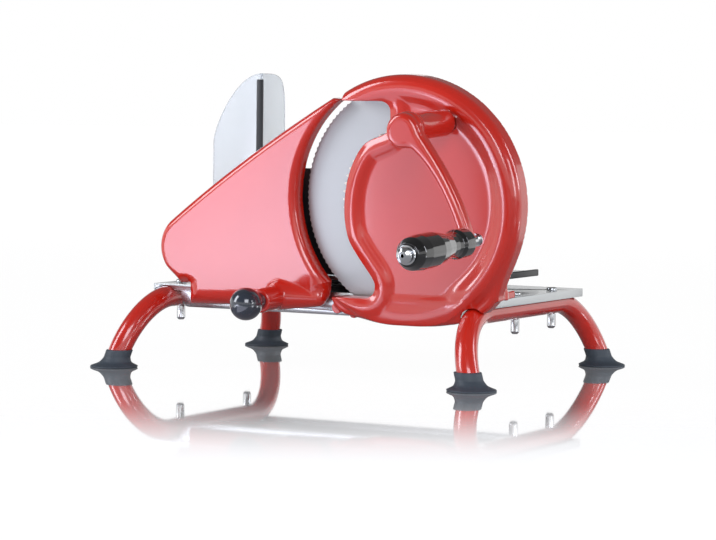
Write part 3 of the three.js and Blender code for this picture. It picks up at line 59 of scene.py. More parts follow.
# The head leans towards the crank side: x across, y depth, z up in its plane
head = {"tilt": math.radians(3.1), "y": -79.1, "z": 141.99}
headToFrame = toFrame @ Matrix.Translation((0, head["y"], head["z"])) @ Matrix.Rotation(head["tilt"], 4, "X")
bladeX = 87
bladeToFrame = headToFrame @ Matrix.Translation((bladeX, 0, 0))
crankX, crankZ = 127.99, 64.0
handleX, handleZ = 179.99, -20.0


# Colours

def linear(hexCode):
    def channel(value):
        return value / 12.92 if value <= 0.04045 else ((value + 0.055) / 1.055) ** 2.4
    return tuple(channel(int(hexCode[i:i + 2], 16) / 255) for i in (0, 2, 4)) + (1,)


def newMaterial(name, hexCode, **sockets):
    material = bpy.data.materials.new(name)
    material.use_nodes = True
    shader = material.node_tree.nodes["Principled BSDF"]
    shader.inputs["Base Color"].default_value = linear(hexCode)
    for socket, value in sockets.items():
        shader.inputs[socket.replace("_", " ")].default_value = value
    return material


# Adds a node to a material or a world, with its settings
def addNode(owner, kind, **values):
    node = owner.node_tree.nodes.new(kind)
    for key, value in values.items():
        if key in node.inputs:
            node.inputs[key].default_value = value
        else:
            setattr(node, key, value)
    return node


def link(owner, source, output, target, socket):
    owner.node_tree.links.new(source.outputs[output], target.inputs[socket])


# Fine bumps from noise on object coordinates, stretched by scale
def addGrain(material, scale, strength, distance, detail=3.0):
    shader = material.node_tree.nodes["Principled BSDF"]
    coordinates = addNode(material, "ShaderNodeTexCoord")
    mapping = addNode(material, "ShaderNodeMapping", Scale=scale)
    noise = addNode(material, "ShaderNodeTexNoise", Scale=1.0, Detail=detail)
    bump = addNode(material, "ShaderNodeBump", Strength=strength, Distance=distance)
    link(material, coordinates, "Object", mapping, "Vector")
    link(material, mapping, "Vector", noise, "Vector")
    link(material, noise, "Fac", bump, "Height")
    link(material, bump, "Normal", shader, "Normal")
    return noise


# Colour that wanders between two shades by a slow noise
def addMottle(material, darkHex, lightHex, scale):
    shader = material.node_tree.nodes["Principled BSDF"]
    coordinates = addNode(material, "ShaderNodeTexCoord")
    noise = addNode(material, "ShaderNodeTexNoise", Scale=scale, Detail=4.0)
    ramp = addNode(material, "ShaderNodeValToRGB")
    ramp.color_ramp.elements[0].position = 0.35
    ramp.color_ramp.elements[0].color = linear(darkHex)
    ramp.color_ramp.elements[1].position = 0.65
    ramp.color_ramp.elements[1].color = linear(lightHex)
    link(material, coordinates, "Object", noise, "Vector")
    link(material, noise, "Fac", ramp, "Fac")
    link(material, ramp, "Color", shader, "Base Color")


# Glossy orange-red enamel, sprayed on castings and tubes
redEnamel = newMaterial("red enamel", "C8210F", Roughness=0.26, Coat_Weight=1.0, Coat_Roughness=0.07)
addMottle(redEnamel, "C31F10", "CB2413", 9.0)
addGrain(redEnamel, (260, 260, 260), 0.04, 0.00012)

# Brushed stainless sheet, grain along x
brushedSheet = newMaterial("brushed stainless sheet", "C9CCCE", Metallic=1.0, Roughness=0.26)
addGrain(brushedSheet, (18, 2400, 2400), 0.10, 0.00005)

# Ground and polished blade steel
bladeSteel = newMaterial("ground blade steel", "ACAEAD", Metallic=1.0, Roughness=0.5)
addGrain(bladeSteel, (900, 30, 900), 0.04, 0.00003)

# Bright plated screws, caps and pins
platedSteel = newMaterial("bright plated steel", "D2D4D6", Metallic=1.0, Roughness=0.14)

# Dark blue-grey rubber of the feet, faintly dusty
footRubber = newMaterial("blue-grey rubber", "3C454E", Roughness=0.55)
addMottle(footRubber, "38414A", "434C55", 40.0)
addGrain(footRubber, (700, 700, 700), 0.15, 0.0002)

# Black lacquered grip
blackLacquer = newMaterial("black lacquer", "0B0B0C", Roughness=0.12, Coat_Weight=1.0, Coat_Roughness=0.03)

# Black moulded plastic
blackMoulding = newMaterial("black moulded plastic", "1B1C1E", Roughness=0.4)
addGrain(blackMoulding, (1500, 1500, 1500), 0.12, 0.0001)

# Dark blue-grey moulded knob
knobPlastic = newMaterial("blue-grey knob plastic", "2A303A", Roughness=0.16, Coat_Weight=1.0,
                          Coat_Roughness=0.04)

# Clear moulded wall, faintly grey
clearWall = newMaterial("clear moulded wall", "E8EDF1", Roughness=0.2, Transmission_Weight=0.72, IOR=1.49)

# Natural nylon gear
nylon = newMaterial("natural nylon", "E4E1D6", Roughness=0.45)

# Turned brass
turnedBrass = newMaterial("turned brass", "B9974F", Metallic=1.0, Roughness=0.28)

slotMaterials = {
    "red_paint": redEnamel,
    "stainless": brushedSheet,
    "bright_steel": platedSteel,
    "rubber": footRubber,
    "black_gloss": blackLacquer,
    "black_plastic": blackMoulding,
    "blue_plastic": knobPlastic,
    "clear_plastic": clearWall,
    "gear_plastic": nylon,
    "brass": turnedBrass,
}
nodeSlots = {row["node"]: row["material_slot"] for row in frame["record"]["subparts"]}
bodies = frame["record"]["behaviour"]["bodies"]
nodeBodies = {node: body for body, nodes in bodies.items() for node in nodes}
for nodeName, cadObject in frame["nodes"].items():
    cadObject.data.materials.clear()
    cadObject.data.materials.append(slotMaterials[nodeSlots[nodeName]])
print("materials ready")


# Mesh helpers

# A finished piece: it stands for CAD nodes, rides on their body and takes their finish
def finishPiece(name, mesh, nodes, material=None, normals=None):
    piece = bpy.data.objects.new(name, mesh)
    bpy.context.scene.collection.objects.link(piece)
    slotName = nodeSlots[nodes[0]]
    mesh.materials.clear()
    mesh.materials.append(material or slotMaterials[slotName])
    for polygon in mesh.polygons:
        polygon.use_smooth = True
    if normals is not None:
        mesh.normals_split_custom_set_from_vertices(normals)
    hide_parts(*nodes)
    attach(piece, nodeBodies[nodes[0]])
    return piece


def meshOf(name, points, faces, matrix):
    mesh = bpy.data.meshes.new(name)
    mesh.from_pydata([matrix @ Vector(point) for point in points], [], faces)
    mesh.validate()
    mesh.update()
    return mesh


# Edges sharper than the angle stay crisp
def crisp(piece, degreesLimit=35):
    bpy.context.view_layer.objects.active = piece
    for other in bpy.context.selected_objects:
        other.select_set(False)
    piece.select_set(True)
    bpy.ops.object.shade_smooth_by_angle(angle=math.radians(degreesLimit))
    piece.select_set(False)


# Rounds the corners of a profile, given as [x, y] or [x, y, radius]
def roundedProfile(corners, steps=5, ring=False):
    rounded = []
    count = len(corners)
    for i, corner in enumerate(corners):
        point = Vector(corner[:2])
        radius = corner[2] if len(corner) > 2 else 0
        if radius == 0 or (not ring and i in (0, count - 1)):
            rounded.append(tuple(point))
            continue
        before = Vector(corners[i - 1][:2]) - point
        after = Vector(corners[(i + 1) % count][:2]) - point
        half = before.angle(after) / 2
        reach = min(radius / math.tan(half), before.length / 2, after.length / 2)
        start = point + before.normalized() * reach
        end = point + after.normalized() * reach
        for k in range(steps + 1):
            t = k / steps
            rounded.append(tuple(start * (1 - t) ** 2 + point * 2 * t * (1 - t) + end * t ** 2))
    return rounded


# Revolved about the y axis at a place, with the profile as (radius, depth)
def turnedMesh(name, profile, centre, matrix, segments=96):
    points, faces, rings = [], [], []
    for radius, depth in profile:
        if radius < 1e-6:
            rings.append([len(points)] * segments)
            points.append((centre[0], depth, centre[1]))
            continue
        rings.append(list(range(len(points), len(points) + segments)))
        for k in range(segments):
            angle = 2 * math.pi * k / segments
            points.append((centre[0] + radius * math.cos(angle), depth, centre[1] + radius * math.sin(angle)))
    for lower, upper in zip(rings, rings[1:]):
        for k in range(segments):
            n = (k + 1) % segments
            loop = [lower[k], lower[n], upper[n], upper[k]]
            face = [v for i, v in enumerate(loop) if v not in loop[:i]]
            if len(face) > 2:
                faces.append(face)
    mesh = meshOf(name, points, faces, matrix)
    return outwards(mesh)


# Merges doubled corners and turns the faces outwards
def outwards(mesh):
    shape = bmesh.new()
    shape.from_mesh(mesh)
    bmesh.ops.remove_doubles(shape, verts=shape.verts, dist=1e-7)
    bmesh.ops.recalc_face_normals(shape, faces=shape.faces)
    if shape.calc_volume(signed=True) < 0:
        bmesh.ops.reverse_faces(shape, faces=shape.faces)
    shape.to_mesh(mesh)
    shape.free()
    return mesh


# A copy of CAD nodes with merged corners and lightly broken edges
softening = {"merge": 2e-6, "flat": math.radians(2), "sharp": math.radians(50), "segments": 2}


def softenedPiece(name, nodes, width):
    shape = bmesh.new()
    for node in nodes:
        shape.from_mesh(frame["nodes"][node].data)
    bmesh.ops.remove_doubles(shape, verts=shape.verts, dist=softening["merge"])
    bmesh.ops.dissolve_limit(shape, angle_limit=softening["flat"], verts=shape.verts, edges=shape.edges)
    bmesh.ops.recalc_face_normals(shape, faces=shape.faces)
    sharp = [e for e in shape.edges if len(e.link_faces) == 2 and e.calc_face_angle(0) > softening["sharp"]]
    bmesh.ops.bevel(shape, geom=sharp, offset=width * millimetre, segments=softening["segments"],
                    profile=0.5, affect="EDGES", clamp_overlap=True)
    mesh = bpy.data.meshes.new(name)
    shape.to_mesh(mesh)
    shape.free()
    piece = finishPiece(name, mesh, nodes)
    crisp(piece)
    return piece


# Implicit castings: a field is negative inside, positive outside and about a distance

def smoothMin(a, b, radius):
    share = np.clip(0.5 + 0.5 * (b - a) / radius, 0, 1)
    return b * (1 - share) + a * share - radius * share * (1 - share)


def smoothMax(a, b, radius):
    return -smoothMin(-a, -b, radius)


# Distance to a line of points; for a ring of points it is negative inside
def lineField(points, ring):
    corners = np.array(points, float)
    ends = np.roll(corners, -1, axis=0)
    if not ring:
        corners, ends = corners[:-1], ends[:-1]

    def distance(x, z):
        nearest = np.full(x.shape, 1e9)
        inside = np.zeros(x.shape, bool)
        for (ax, az), (bx, bz) in zip(corners, ends):
            ex, ez = bx - ax, bz - az
            length = ex * ex + ez * ez
            if length < 1e-12:
                continue
            t = np.clip(((x - ax) * ex + (z - az) * ez) / length, 0, 1)
            nearest = np.minimum(nearest, np.hypot(x - ax - t * ex, z - az - t * ez))
            if ring and az != bz:
                crossing = (az > z) != (bz > z)
                inside ^= crossing & (x < (bx - ax) * (z - az) / (bz - az) + ax)
        return np.where(inside, -nearest, nearest) if ring else nearest

    return distance


def rodField(x, depth, z, cx, cz, radius, front, back):
    return np.maximum(np.hypot(x - cx, z - cz) - radius, np.maximum(back - depth, depth - front))


def boxField(x, depth, z, x0, x1, d0, d1, z0, z1, radius):
    across = np.maximum(x0 - x, x - x1)
    deep = np.maximum(d0 - depth, depth - d1)
    upward = np.maximum(z0 - z, z - z1)
    return smoothMax(smoothMax(across, deep, radius), upward, radius)


# Skin of a field: a lattice surface, drawn onto the field's zero and evened out
skin = {"gap": 0.02, "leastSlope": 0.2, "firstRounds": 3, "evenRounds": 4, "evenShare": 0.6, "lastRounds": 2}


def castMesh(name, field, low, high, step, matrix):
    axes = [np.arange(a - step, b + 2 * step, step) for a, b in zip(low, high)]
    lattice = np.stack(np.meshgrid(*axes, indexing="ij"), -1)
    inside = field(lattice.reshape(-1, 3)).reshape(lattice.shape[:3]) < 0
    cells = [slice(None, -1), slice(1, None)]
    eight = np.stack([inside[i, j, k] for i in cells for j in cells for k in cells])
    mixed = eight.any(0) & ~eight.all(0)
    number = np.full(mixed.shape, -1)
    number[mixed] = np.arange(mixed.sum())
    points = lattice[:-1, :-1, :-1][mixed] + step / 2
    quads = []
    for axis in range(3):
        along = np.moveaxis(inside, axis, 0)
        ids = np.moveaxis(number, axis, 0)
        changed = along[:-1, 1:-1, 1:-1] != along[1:, 1:-1, 1:-1]
        rising = along[:-1, 1:-1, 1:-1][changed]
        ring = np.stack([ids[:, :-1, :-1][changed], ids[:, 1:, :-1][changed],
                         ids[:, 1:, 1:][changed], ids[:, :-1, 1:][changed]], 1)
        turnIt = rising if axis != 1 else ~rising
        quads.append(np.where(turnIt[:, None], ring, ring[:, ::-1]))
    quads = np.concatenate(quads)
    pairs = np.concatenate([quads[:, [0, 1]], quads[:, [1, 2]], quads[:, [2, 3]], quads[:, [3, 0]]])
    degree = np.bincount(pairs.ravel(), minlength=len(points))

    def slope(at):
        here = field(at)
        steps = [field(at + skin["gap"] * np.eye(3)[i]) - here for i in range(3)]
        return here, np.stack(steps, 1) / skin["gap"]

    def settle(at, rounds):
        for _ in range(rounds):
            here, rise = slope(at)
            square = np.maximum((rise ** 2).sum(1), skin["leastSlope"])
            at = at - np.clip(here / square, -step, step)[:, None] * rise
        return at

    points = settle(points, skin["firstRounds"])
    for _ in range(skin["evenRounds"]):
        total = np.zeros_like(points)
        np.add.at(total, pairs[:, 0], points[pairs[:, 1]])
        np.add.at(total, pairs[:, 1], points[pairs[:, 0]])
        middles = total / degree[:, None]
        points = settle((1 - skin["evenShare"]) * points + skin["evenShare"] * middles, 1)
    points = settle(points, skin["lastRounds"])
    normals = slope(points)[1]
    normals /= np.maximum(np.linalg.norm(normals, axis=1), 1e-9)[:, None]
    turn = np.array(matrix.to_3x3().normalized())
    placed = points @ np.array(matrix.to_3x3()).T + np.array(matrix.translation)
    mesh = bpy.data.meshes.new(name)
    mesh.vertices.add(len(placed))
    mesh.vertices.foreach_set("co", placed.astype(np.float32).ravel())
    mesh.loops.add(quads.size)
    mesh.loops.foreach_set("vertex_index", quads.astype(np.int32).ravel())
    mesh.polygons.add(len(quads))
    mesh.polygons.foreach_set("loop_start", np.arange(0, quads.size, 4, dtype=np.int32))
    mesh.update(calc_edges=True)
    mesh.validate()
    return mesh, (normals @ turn.T).tolist()


def castPiece(name, nodes, field, sizes, matrix):
    mesh, normals = castMesh(name, field, sizes["low"], sizes["high"], sizes["step"], matrix)
    print(name, len(mesh.polygons), "faces")
    return finishPiece(name, mesh, nodes, normals=normals)


def arc(x, z, radius, start, end, count):
    angles = [start + (end - start) * k / count for k in range(count + 1)]
    return [(x + radius * math.cos(a), z + radius * math.sin(a)) for a in angles]


def bezier(control, count):
    curve = []
    for k in range(count + 1):
        t = k / count
        layer = [Vector(point) for point in control]
        while len(layer) > 1:
            layer = [a.lerp(b, t) for a, b in zip(layer, layer[1:])]
        curve.append(tuple(layer[0]))
    return curve


# Curves in a row, each given as its control points and its count of steps
def curvesOf(rows):
    return [point for control, count in rows for point in bezier(control, count)]


# Share from 0 to 1 with a soft start and end
def eased(share):
    return share * share * (3 - 2 * share)


# Window of the housing, from the blade's centre: straight top and foot, an S down its right side
window = {
    "left": -130.0, "top": 79.5, "right": -9.6, "corner": 8.0, "bottom": -77.2, "hornEnd": -50.5,
    "lipStart": -66.0, "beadHalf": 7.6, "beadFront": 13.6, "beadBack": 9.0, "skirt": 1.7,
    "curves": [
        ([(-37.0, -77.2), (-25.2, -77.2), (-25.2, -66.5)], 10),
        ([(-25.2, -66.5), (-25.2, -60.5), (-35.5, -51.5), (-46.2, -34.5)], 16),
        ([(-46.2, -34.5), (-55.5, -18.5), (-54.0, 22.0), (-34.4, 43.8)], 24),
        ([(-34.4, 43.8), (-25.0, 52.5), (-9.6, 50.0), (-9.6, 62.0)], 16),
    ],
}


def windowLine():
    w = window
    line = [(w["left"], w["bottom"])] + curvesOf(w["curves"])
    line += arc(w["right"] - w["corner"], w["top"] - w["corner"], w["corner"], 0, math.pi / 2, 8)
    return line + [(w["left"], w["top"])]


# Housing, from the blade's centre. Bosses are x, z, radius, front and back; blocks are
# x, depth and z, each from and to, and a rounding.
housing = {
    "radius": 100.3, "offset": 1.3, "bead": 10.0, "beadDepth": 15.0, "face": 18.0, "wall": 2.1, "back": 4.0,
    "railFront": 18.5, "foot": -97.4, "step": 1.1, "low": (-66, -28, -102), "high": (103, 20, 102),
    "footStart": (-66.0, -74.0), "footInner": [(77.0, -36.0), (47.5, -74.0)],
    "footCurves": [
        ([(-66.0, -79.0), (-62.0, -90.5), (-46.0, -92.4)], 10),
        ([(-46.0, -92.4), (-4.0, -99.0), (41.7, -94.5)], 14),
        ([(41.7, -94.5), (71.5, -88.9), (79.5, -72.9)], 10),
        ([(79.5, -72.9), (86.0, -57.0), (93.0, -36.0)], 8),
    ],
    "bosses": [(0, 0, 11.2, 17.0, 9.6), (crankX - bladeX, crankZ, 11.0, 17.0, 10.2)],
    "screwBosses": [(-62.0, -86.0, 4.6, 15.0, -0.7), (-47.0, -89.0, 4.6, 15.0, -0.7)],
    "arm": (71.0, 80.0, -4.0, 14.0, -75.0, -62.0, 1.2),
    "pad": (52.5, 80.0, -17.5, -1.6, -75.2, -69.2, 1.2),
    "tubeRoom": 10.2, "shaftRoom": 7.0,
}


def housingField():
    h, w = housing, window
    windowAt = lineField(windowLine(), True)
    footAt = lineField([h["footStart"]] + curvesOf(h["footCurves"]) + h["footInner"], True)

    # The rolled ring flattens into the face along the foot of the housing
    def ringSolid(radial, depth, flat, inset):
        beadDepth = h["beadDepth"] - flat * (h["beadDepth"] + h["bead"] - h["face"])
        bead = np.hypot(radial - h["radius"] + h["bead"], depth - beadDepth) - h["bead"] + inset
        face = np.maximum(radial - h["radius"] + h["bead"] * (1 - 0.7 * flat), depth - h["face"] + inset)
        skirt = np.maximum(radial - h["radius"] + inset, depth - beadDepth)
        return np.minimum(smoothMin(bead, face, 8.0), skirt)

    def field(p):
        x, depth, z = p[:, 0], -p[:, 1], p[:, 2]
        radial = np.hypot(x - h["offset"], z)
        flat = eased(np.clip((-z - 50) / 24, 0, 1) * np.clip((62 - x) / 26, 0, 1))
        shell = smoothMax(ringSolid(radial, depth, flat, 0), -ringSolid(radial, depth, flat, h["wall"]), 0.6)
        foot = smoothMax(footAt(x, z), depth - h["railFront"], 5.0)
        shell = smoothMax(smoothMin(shell, foot, 3.0), h["foot"] - z, 2.5)
        opening = windowAt(x, z)
        skirt = np.maximum(np.maximum(-opening, opening - w["skirt"]), radial - h["radius"] + h["wall"])
        shell = np.minimum(shell, np.maximum(skirt, depth - h["face"]))
        shell = smoothMax(shell, -opening, 1.0)
        bead = np.hypot(opening - w["beadHalf"], np.maximum(depth - w["beadFront"], 0)) - w["beadHalf"]
        bead = smoothMax(bead, w["beadBack"] - depth, 1.0)
        bead = smoothMax(bead, np.maximum(w["lipStart"] - x, radial - h["radius"] + 3), 4.0)
        bead = smoothMax(bead, np.minimum(z - w["top"] + 9, w["right"] - 16 - x), 6.0)
        shell = smoothMin(shell, bead, 4.0)
        shell = smoothMax(shell, np.minimum(w["hornEnd"] - x, z - 60), 1.0)
        for boss in h["bosses"]:
            shell = np.minimum(shell, rodField(x, depth, z, *boss))
        shell = smoothMax(shell, h["back"] - depth, 0.6)
        for boss in h["screwBosses"]:
            shell = np.minimum(shell, rodField(x, depth, z, *boss))
        arm, pad = boxField(x, depth, z, *h["arm"]), boxField(x, depth, z, *h["pad"])
        shell = smoothMin(shell, smoothMin(arm, pad, 2.0), 1.5)
        shell = smoothMax(shell, h["tubeRoom"] - tubeDistance(x, depth, z), 0.8)
        return smoothMax(shell, h["shaftRoom"] - np.hypot(x - crankX + bladeX, z - crankZ), 0.4)

    return field


# Arch tubes: a bar with two bent legs in a plane that leans outwards
arch = {
    "half": 144.7, "height": 56.0, "straight": 66.0, "bend": 58.0, "splay": math.radians(18),
    "turn": math.radians(83.6), "radius": 9.0,
}


# A point of an arch's centre line: side -1 or 1, along the bar and down the leg
def archPoint(side, along, down):
    outward, lower = down * math.sin(arch["splay"]), down * math.cos(arch["splay"])
    return Vector((side * (arch["half"] + outward), along, arch["height"] - lower))


def archLine(side, steps=40):
    line = []
    for k in range(-steps, steps + 1):
        turn = arch["turn"] * max(abs(k) - 1, 0) / (steps - 1)
        end = -1 if k < 0 else 1
        along = 0 if k == 0 else end * (arch["straight"] + arch["bend"] * math.sin(turn))
        line.append(archPoint(side, along, arch["bend"] * (1 - math.cos(turn))))
    return line


# Distance from the right arch's front bend, asked for in the head's frame
def tubeDistance(x, depth, z):
    worldY = head["y"] - depth * math.cos(head["tilt"]) - z * math.sin(head["tilt"])
    worldZ = head["z"] - depth * math.sin(head["tilt"]) + z * math.cos(head["tilt"])
    outwardX = x + bladeX - arch["half"]
    lean = arch["splay"]
    down = outwardX * math.sin(lean) - (worldZ - arch["height"]) * math.cos(lean)
    square = outwardX * math.cos(lean) + (worldZ - arch["height"]) * math.sin(lean)
    along = -worldY - arch["straight"]
    bent = np.hypot(along, down - arch["bend"]) - arch["bend"]
    inPlane = np.where(along > 0, bent, down)
    return np.hypot(inPlane, square)


# Sweeps a round section along a line of points, with closed ends
def sweptTube(name, line, radius, matrix, sides=48):
    points, faces = [], []
    square = (line[1] - line[0]).cross(line[-1] - line[len(line) // 2]).normalized()
    for i, point in enumerate(line):
        before, after = line[max(i - 1, 0)], line[min(i + 1, len(line) - 1)]
        across = square.cross((after - before).normalized())
        for k in range(sides):
            angle = 2 * math.pi * k / sides
            points.append(point + radius * (math.cos(angle) * across + math.sin(angle) * square))
    for i in range(len(line) - 1):
        for k in range(sides):
            n = (k + 1) % sides
            faces.append([i * sides + k, i * sides + n, (i + 1) * sides + n, (i + 1) * sides + k])
    faces.append(list(range(sides)))
    faces.append([len(line) * sides - 1 - k for k in range(sides)])
    return outwards(meshOf(name, points, faces, matrix))


for sideName, side in (("left", -1), ("right", 1)):
    tubeMesh = sweptTube(f"{sideName} arch tube", archLine(side), arch["radius"], toFrame)
    crisp(finishPiece(f"{sideName}ArchTube", tubeMesh, [f"{sideName}_arch_tube"]), 50)
print("arch tubes done")

# Feet: a flared rubber foot with a cuff, leaning with its leg
foot = {
    "socketTop": 13.8,
    "profile": [(0, 1.0), (14.0, 1.0, 0.4), (15.0, 0.02, 0.4), (19.2, 0.02, 0.5), (19.5, 1.3, 0.8),
                (17.4, 2.2, 2.0), (13.0, 4.0, 6.0), (10.9, 8.2, 3.0), (10.9, 14.4, 0.9), (9.1, 14.5, 0.2)],
}
for sideName, side in (("left", -1), ("right", 1)):
    for endName, end in (("front", -1), ("rear", 1)):
        low = archPoint(side, end * (arch["straight"] + arch["bend"] * math.sin(arch["turn"])),
                        arch["bend"] * (1 - math.cos(arch["turn"])))
        run = archPoint(side, end * math.cos(arch["turn"]), math.sin(arch["turn"])) - archPoint(side, 0, 0)
        ground = low - run * (low.z / run.z)
        lean = Matrix.Translation((ground.x, ground.y, 0))
        lean[0][2], lean[1][2] = run.x / run.z, run.y / run.z
        profile = roundedProfile(foot["profile"], 6) + [(0, foot["socketTop"])]
        footMesh = turnedMesh(f"{sideName} {endName} foot", profile, (0, 0), toFrame @ lean @ upright, 80)
        crisp(finishPiece(f"{sideName}{endName.title()}Foot", footMesh, [f"{sideName}_{endName}_foot"]), 60)
print("feet done")

castPiece("housingCasting", ["housing"], housingField(), housing, bladeToFrame)

# Gauge plate: a flat front with rounded edges and a fuller roll along the bottom. The boss is
# x, z, radius and front; the fairing tapers from one ball to another, each x, depth, z, radius.
gauge = {
    "back": 2.0, "front": 16.0, "step": 1.1, "low": (-141, -47, -92), "high": (31, -2, 82),
    "topRoll": 5.5, "rightRoll": 7.0, "bottomRoll": 13.6, "blade": 98.3, "bladeLow": 66.0, "bladeHigh": 80.0,
    "nose": (-112.6, -43.2, 28.0), "noseFrom": math.radians(128.7), "noseTo": math.radians(217),
    "heel": (7.0, -83.3), "heelBend": (13.6, -82.0), "tip": (22.7, 80.8), "topBend": (-60.8, 32.8),
    "notch": [(-125.6, -73.5), (-116.5, -73.5)], "toe": (-116.5, -90.9), "footBend": (-55.0, -89.6),
    "boss": (-28.0, -79.5, 9.6, 47.0), "fairing": (-27.0, 14.0, -78.2, 12.0, 4.0, 8.0, -79.5, 7.5),
}


def gaugeLine():
    g = gauge
    startTurn = math.pi + math.asin(g["bladeLow"] / g["blade"])
    endTurn = math.pi - math.asin(g["bladeHigh"] / g["blade"])
    noseTop = arc(*g["nose"], g["noseFrom"], g["noseFrom"], 1)[0]
    heelTop = (bladeX + g["blade"] * math.cos(startTurn), -g["bladeLow"])
    line = bezier([g["heel"], g["heelBend"], heelTop], 10)
    line += arc(bladeX, 0, g["blade"], startTurn, endTurn, 40)
    line += bezier([g["tip"], g["topBend"], noseTop], 30)
    line += arc(*g["nose"], g["noseFrom"], g["noseTo"], 24)
    return line + g["notch"] + [g["toe"]] + bezier([g["toe"], g["footBend"], g["heel"]], 20)


def gaugeField():
    g = gauge
    outlineAt = lineField(gaugeLine(), True)

    def field(p):
        x, depth, z = p[:, 0], -p[:, 1], p[:, 2]
        edge = outlineAt(x, z)
        lowShare = eased(np.clip((-58 - z) / 14, 0, 1))
        toBlade = g["blade"] + 14 - np.hypot(x - bladeX, z)
        rightShare = np.clip(toBlade / 14, 0, 1) * np.clip((60 - z) / 40, 0, 1)
        roll = g["topRoll"] + (g["rightRoll"] - g["topRoll"]) * rightShare
        roll = roll + (g["bottomRoll"] - roll) * lowShare
        outside = np.hypot(np.maximum(edge + roll, 0), np.maximum(depth - g["front"] + roll, 0))
        plate = outside + np.minimum(np.maximum(edge + roll, depth - g["front"] + roll), 0) - roll
        bossX, bossZ, bossRadius, bossFront = g["boss"]
        around = np.hypot(x - bossX, z - bossZ) - bossRadius
        boss = smoothMax(around, depth - bossFront, 2.0)
        ax, ad, az, aRadius, bx, bd, bz, bRadius = g["fairing"]
        t = np.clip(((x - ax) * (bx - ax) + (depth - ad) * (bd - ad) + (z - az) * (bz - az))
                    / ((bx - ax) ** 2 + (bd - ad) ** 2 + (bz - az) ** 2), 0, 1)
        away = np.sqrt((x - ax - t * (bx - ax)) ** 2 + (depth - ad - t * (bd - ad)) ** 2
                       + (z - az - t * (bz - az)) ** 2)
        fairing = away - aRadius - t * (bRadius - aRadius)
        whole = smoothMin(smoothMin(plate, fairing, 2.0), boss, 1.5)
        return smoothMax(whole, g["back"] - depth, 0.8)

    return field


castPiece("gaugePlate", ["gauge_plate"], gaugeField(), gauge, headToFrame)

# Crank arm: hub, bowed horn and long boss, blended as one casting
crankArm = {
    "front": 98.0, "back": 84.0, "hub": 12.8, "hubAt": (126.6, 61.6), "waist": 4.4, "power": 5.0,
    "bow": (165.0, 32.0), "boss": 10.5, "flare": 11.6, "flareStart": 66.0, "bossBack": 27.0, "edge": 2.6,
    "screwDepth": 40.0, "screw": 2.7, "shaft": 5.2, "shaftEnd": 92.0, "spindle": 3.8,
    "pieces": 24, "step": 0.8, "low": (112, -99, -28), "high": (187, -26, 80),
}


def crankField():
    c = crankArm
    count = c["pieces"]
    centre = bezier([(crankX, crankZ), c["bow"], (handleX, handleZ)], count)
    widening = c["hub"] - 3 - c["waist"]
    halves = [c["waist"] + widening * (1 - k / count) ** c["power"] for k in range(count + 1)]

    def field(p):
        x, depth, z = p[:, 0], -p[:, 1], p[:, 2]
        horn = np.full(x.shape, 1e9)
        for (ax, az), (bx, bz), startHalf, endHalf in zip(centre, centre[1:], halves, halves[1:]):
            ex, ez = bx - ax, bz - az
            t = np.clip(((x - ax) * ex + (z - az) * ez) / (ex * ex + ez * ez), 0, 1)
            reach = np.hypot(x - ax - t * ex, z - az - t * ez) - startHalf - t * (endHalf - startHalf)
            horn = np.minimum(horn, reach)
        around = np.hypot(x - crankX, z - crankZ)
        outline = smoothMin(horn, np.hypot(x - c["hubAt"][0], z - c["hubAt"][1]) - c["hub"], 5.0)
        deep = np.maximum(depth - c["front"], c["back"] - depth)
        arm = smoothMax(outline, deep, 2 * c["edge"])
        flare = np.clip((depth - c["flareStart"]) / (c["back"] - c["flareStart"]), 0, 1)
        radius = c["boss"] + (c["flare"] - c["boss"]) * flare * flare
        boss = smoothMax(around - radius, np.maximum(c["bossBack"] - depth, depth - c["back"] - 4), 2.0)
        whole = smoothMin(arm, boss, 3.0)
        screwHole = np.maximum(np.hypot(x - crankX, depth - c["screwDepth"]) - c["screw"], crankZ + 3.0 - z)
        shaftHole = np.maximum(around - c["shaft"], depth - c["shaftEnd"])
        spindleHole = np.hypot(x - handleX, z - handleZ) - c["spindle"]
        whole = smoothMax(whole, -spindleHole, 0.4)
        return smoothMax(smoothMax(whole, -screwHole, 0.6), -shaftHole, 0.4)

    return field


castPiece("crankArm", ["crank_arm"], crankField(), crankArm, headToFrame)
print("castings done")

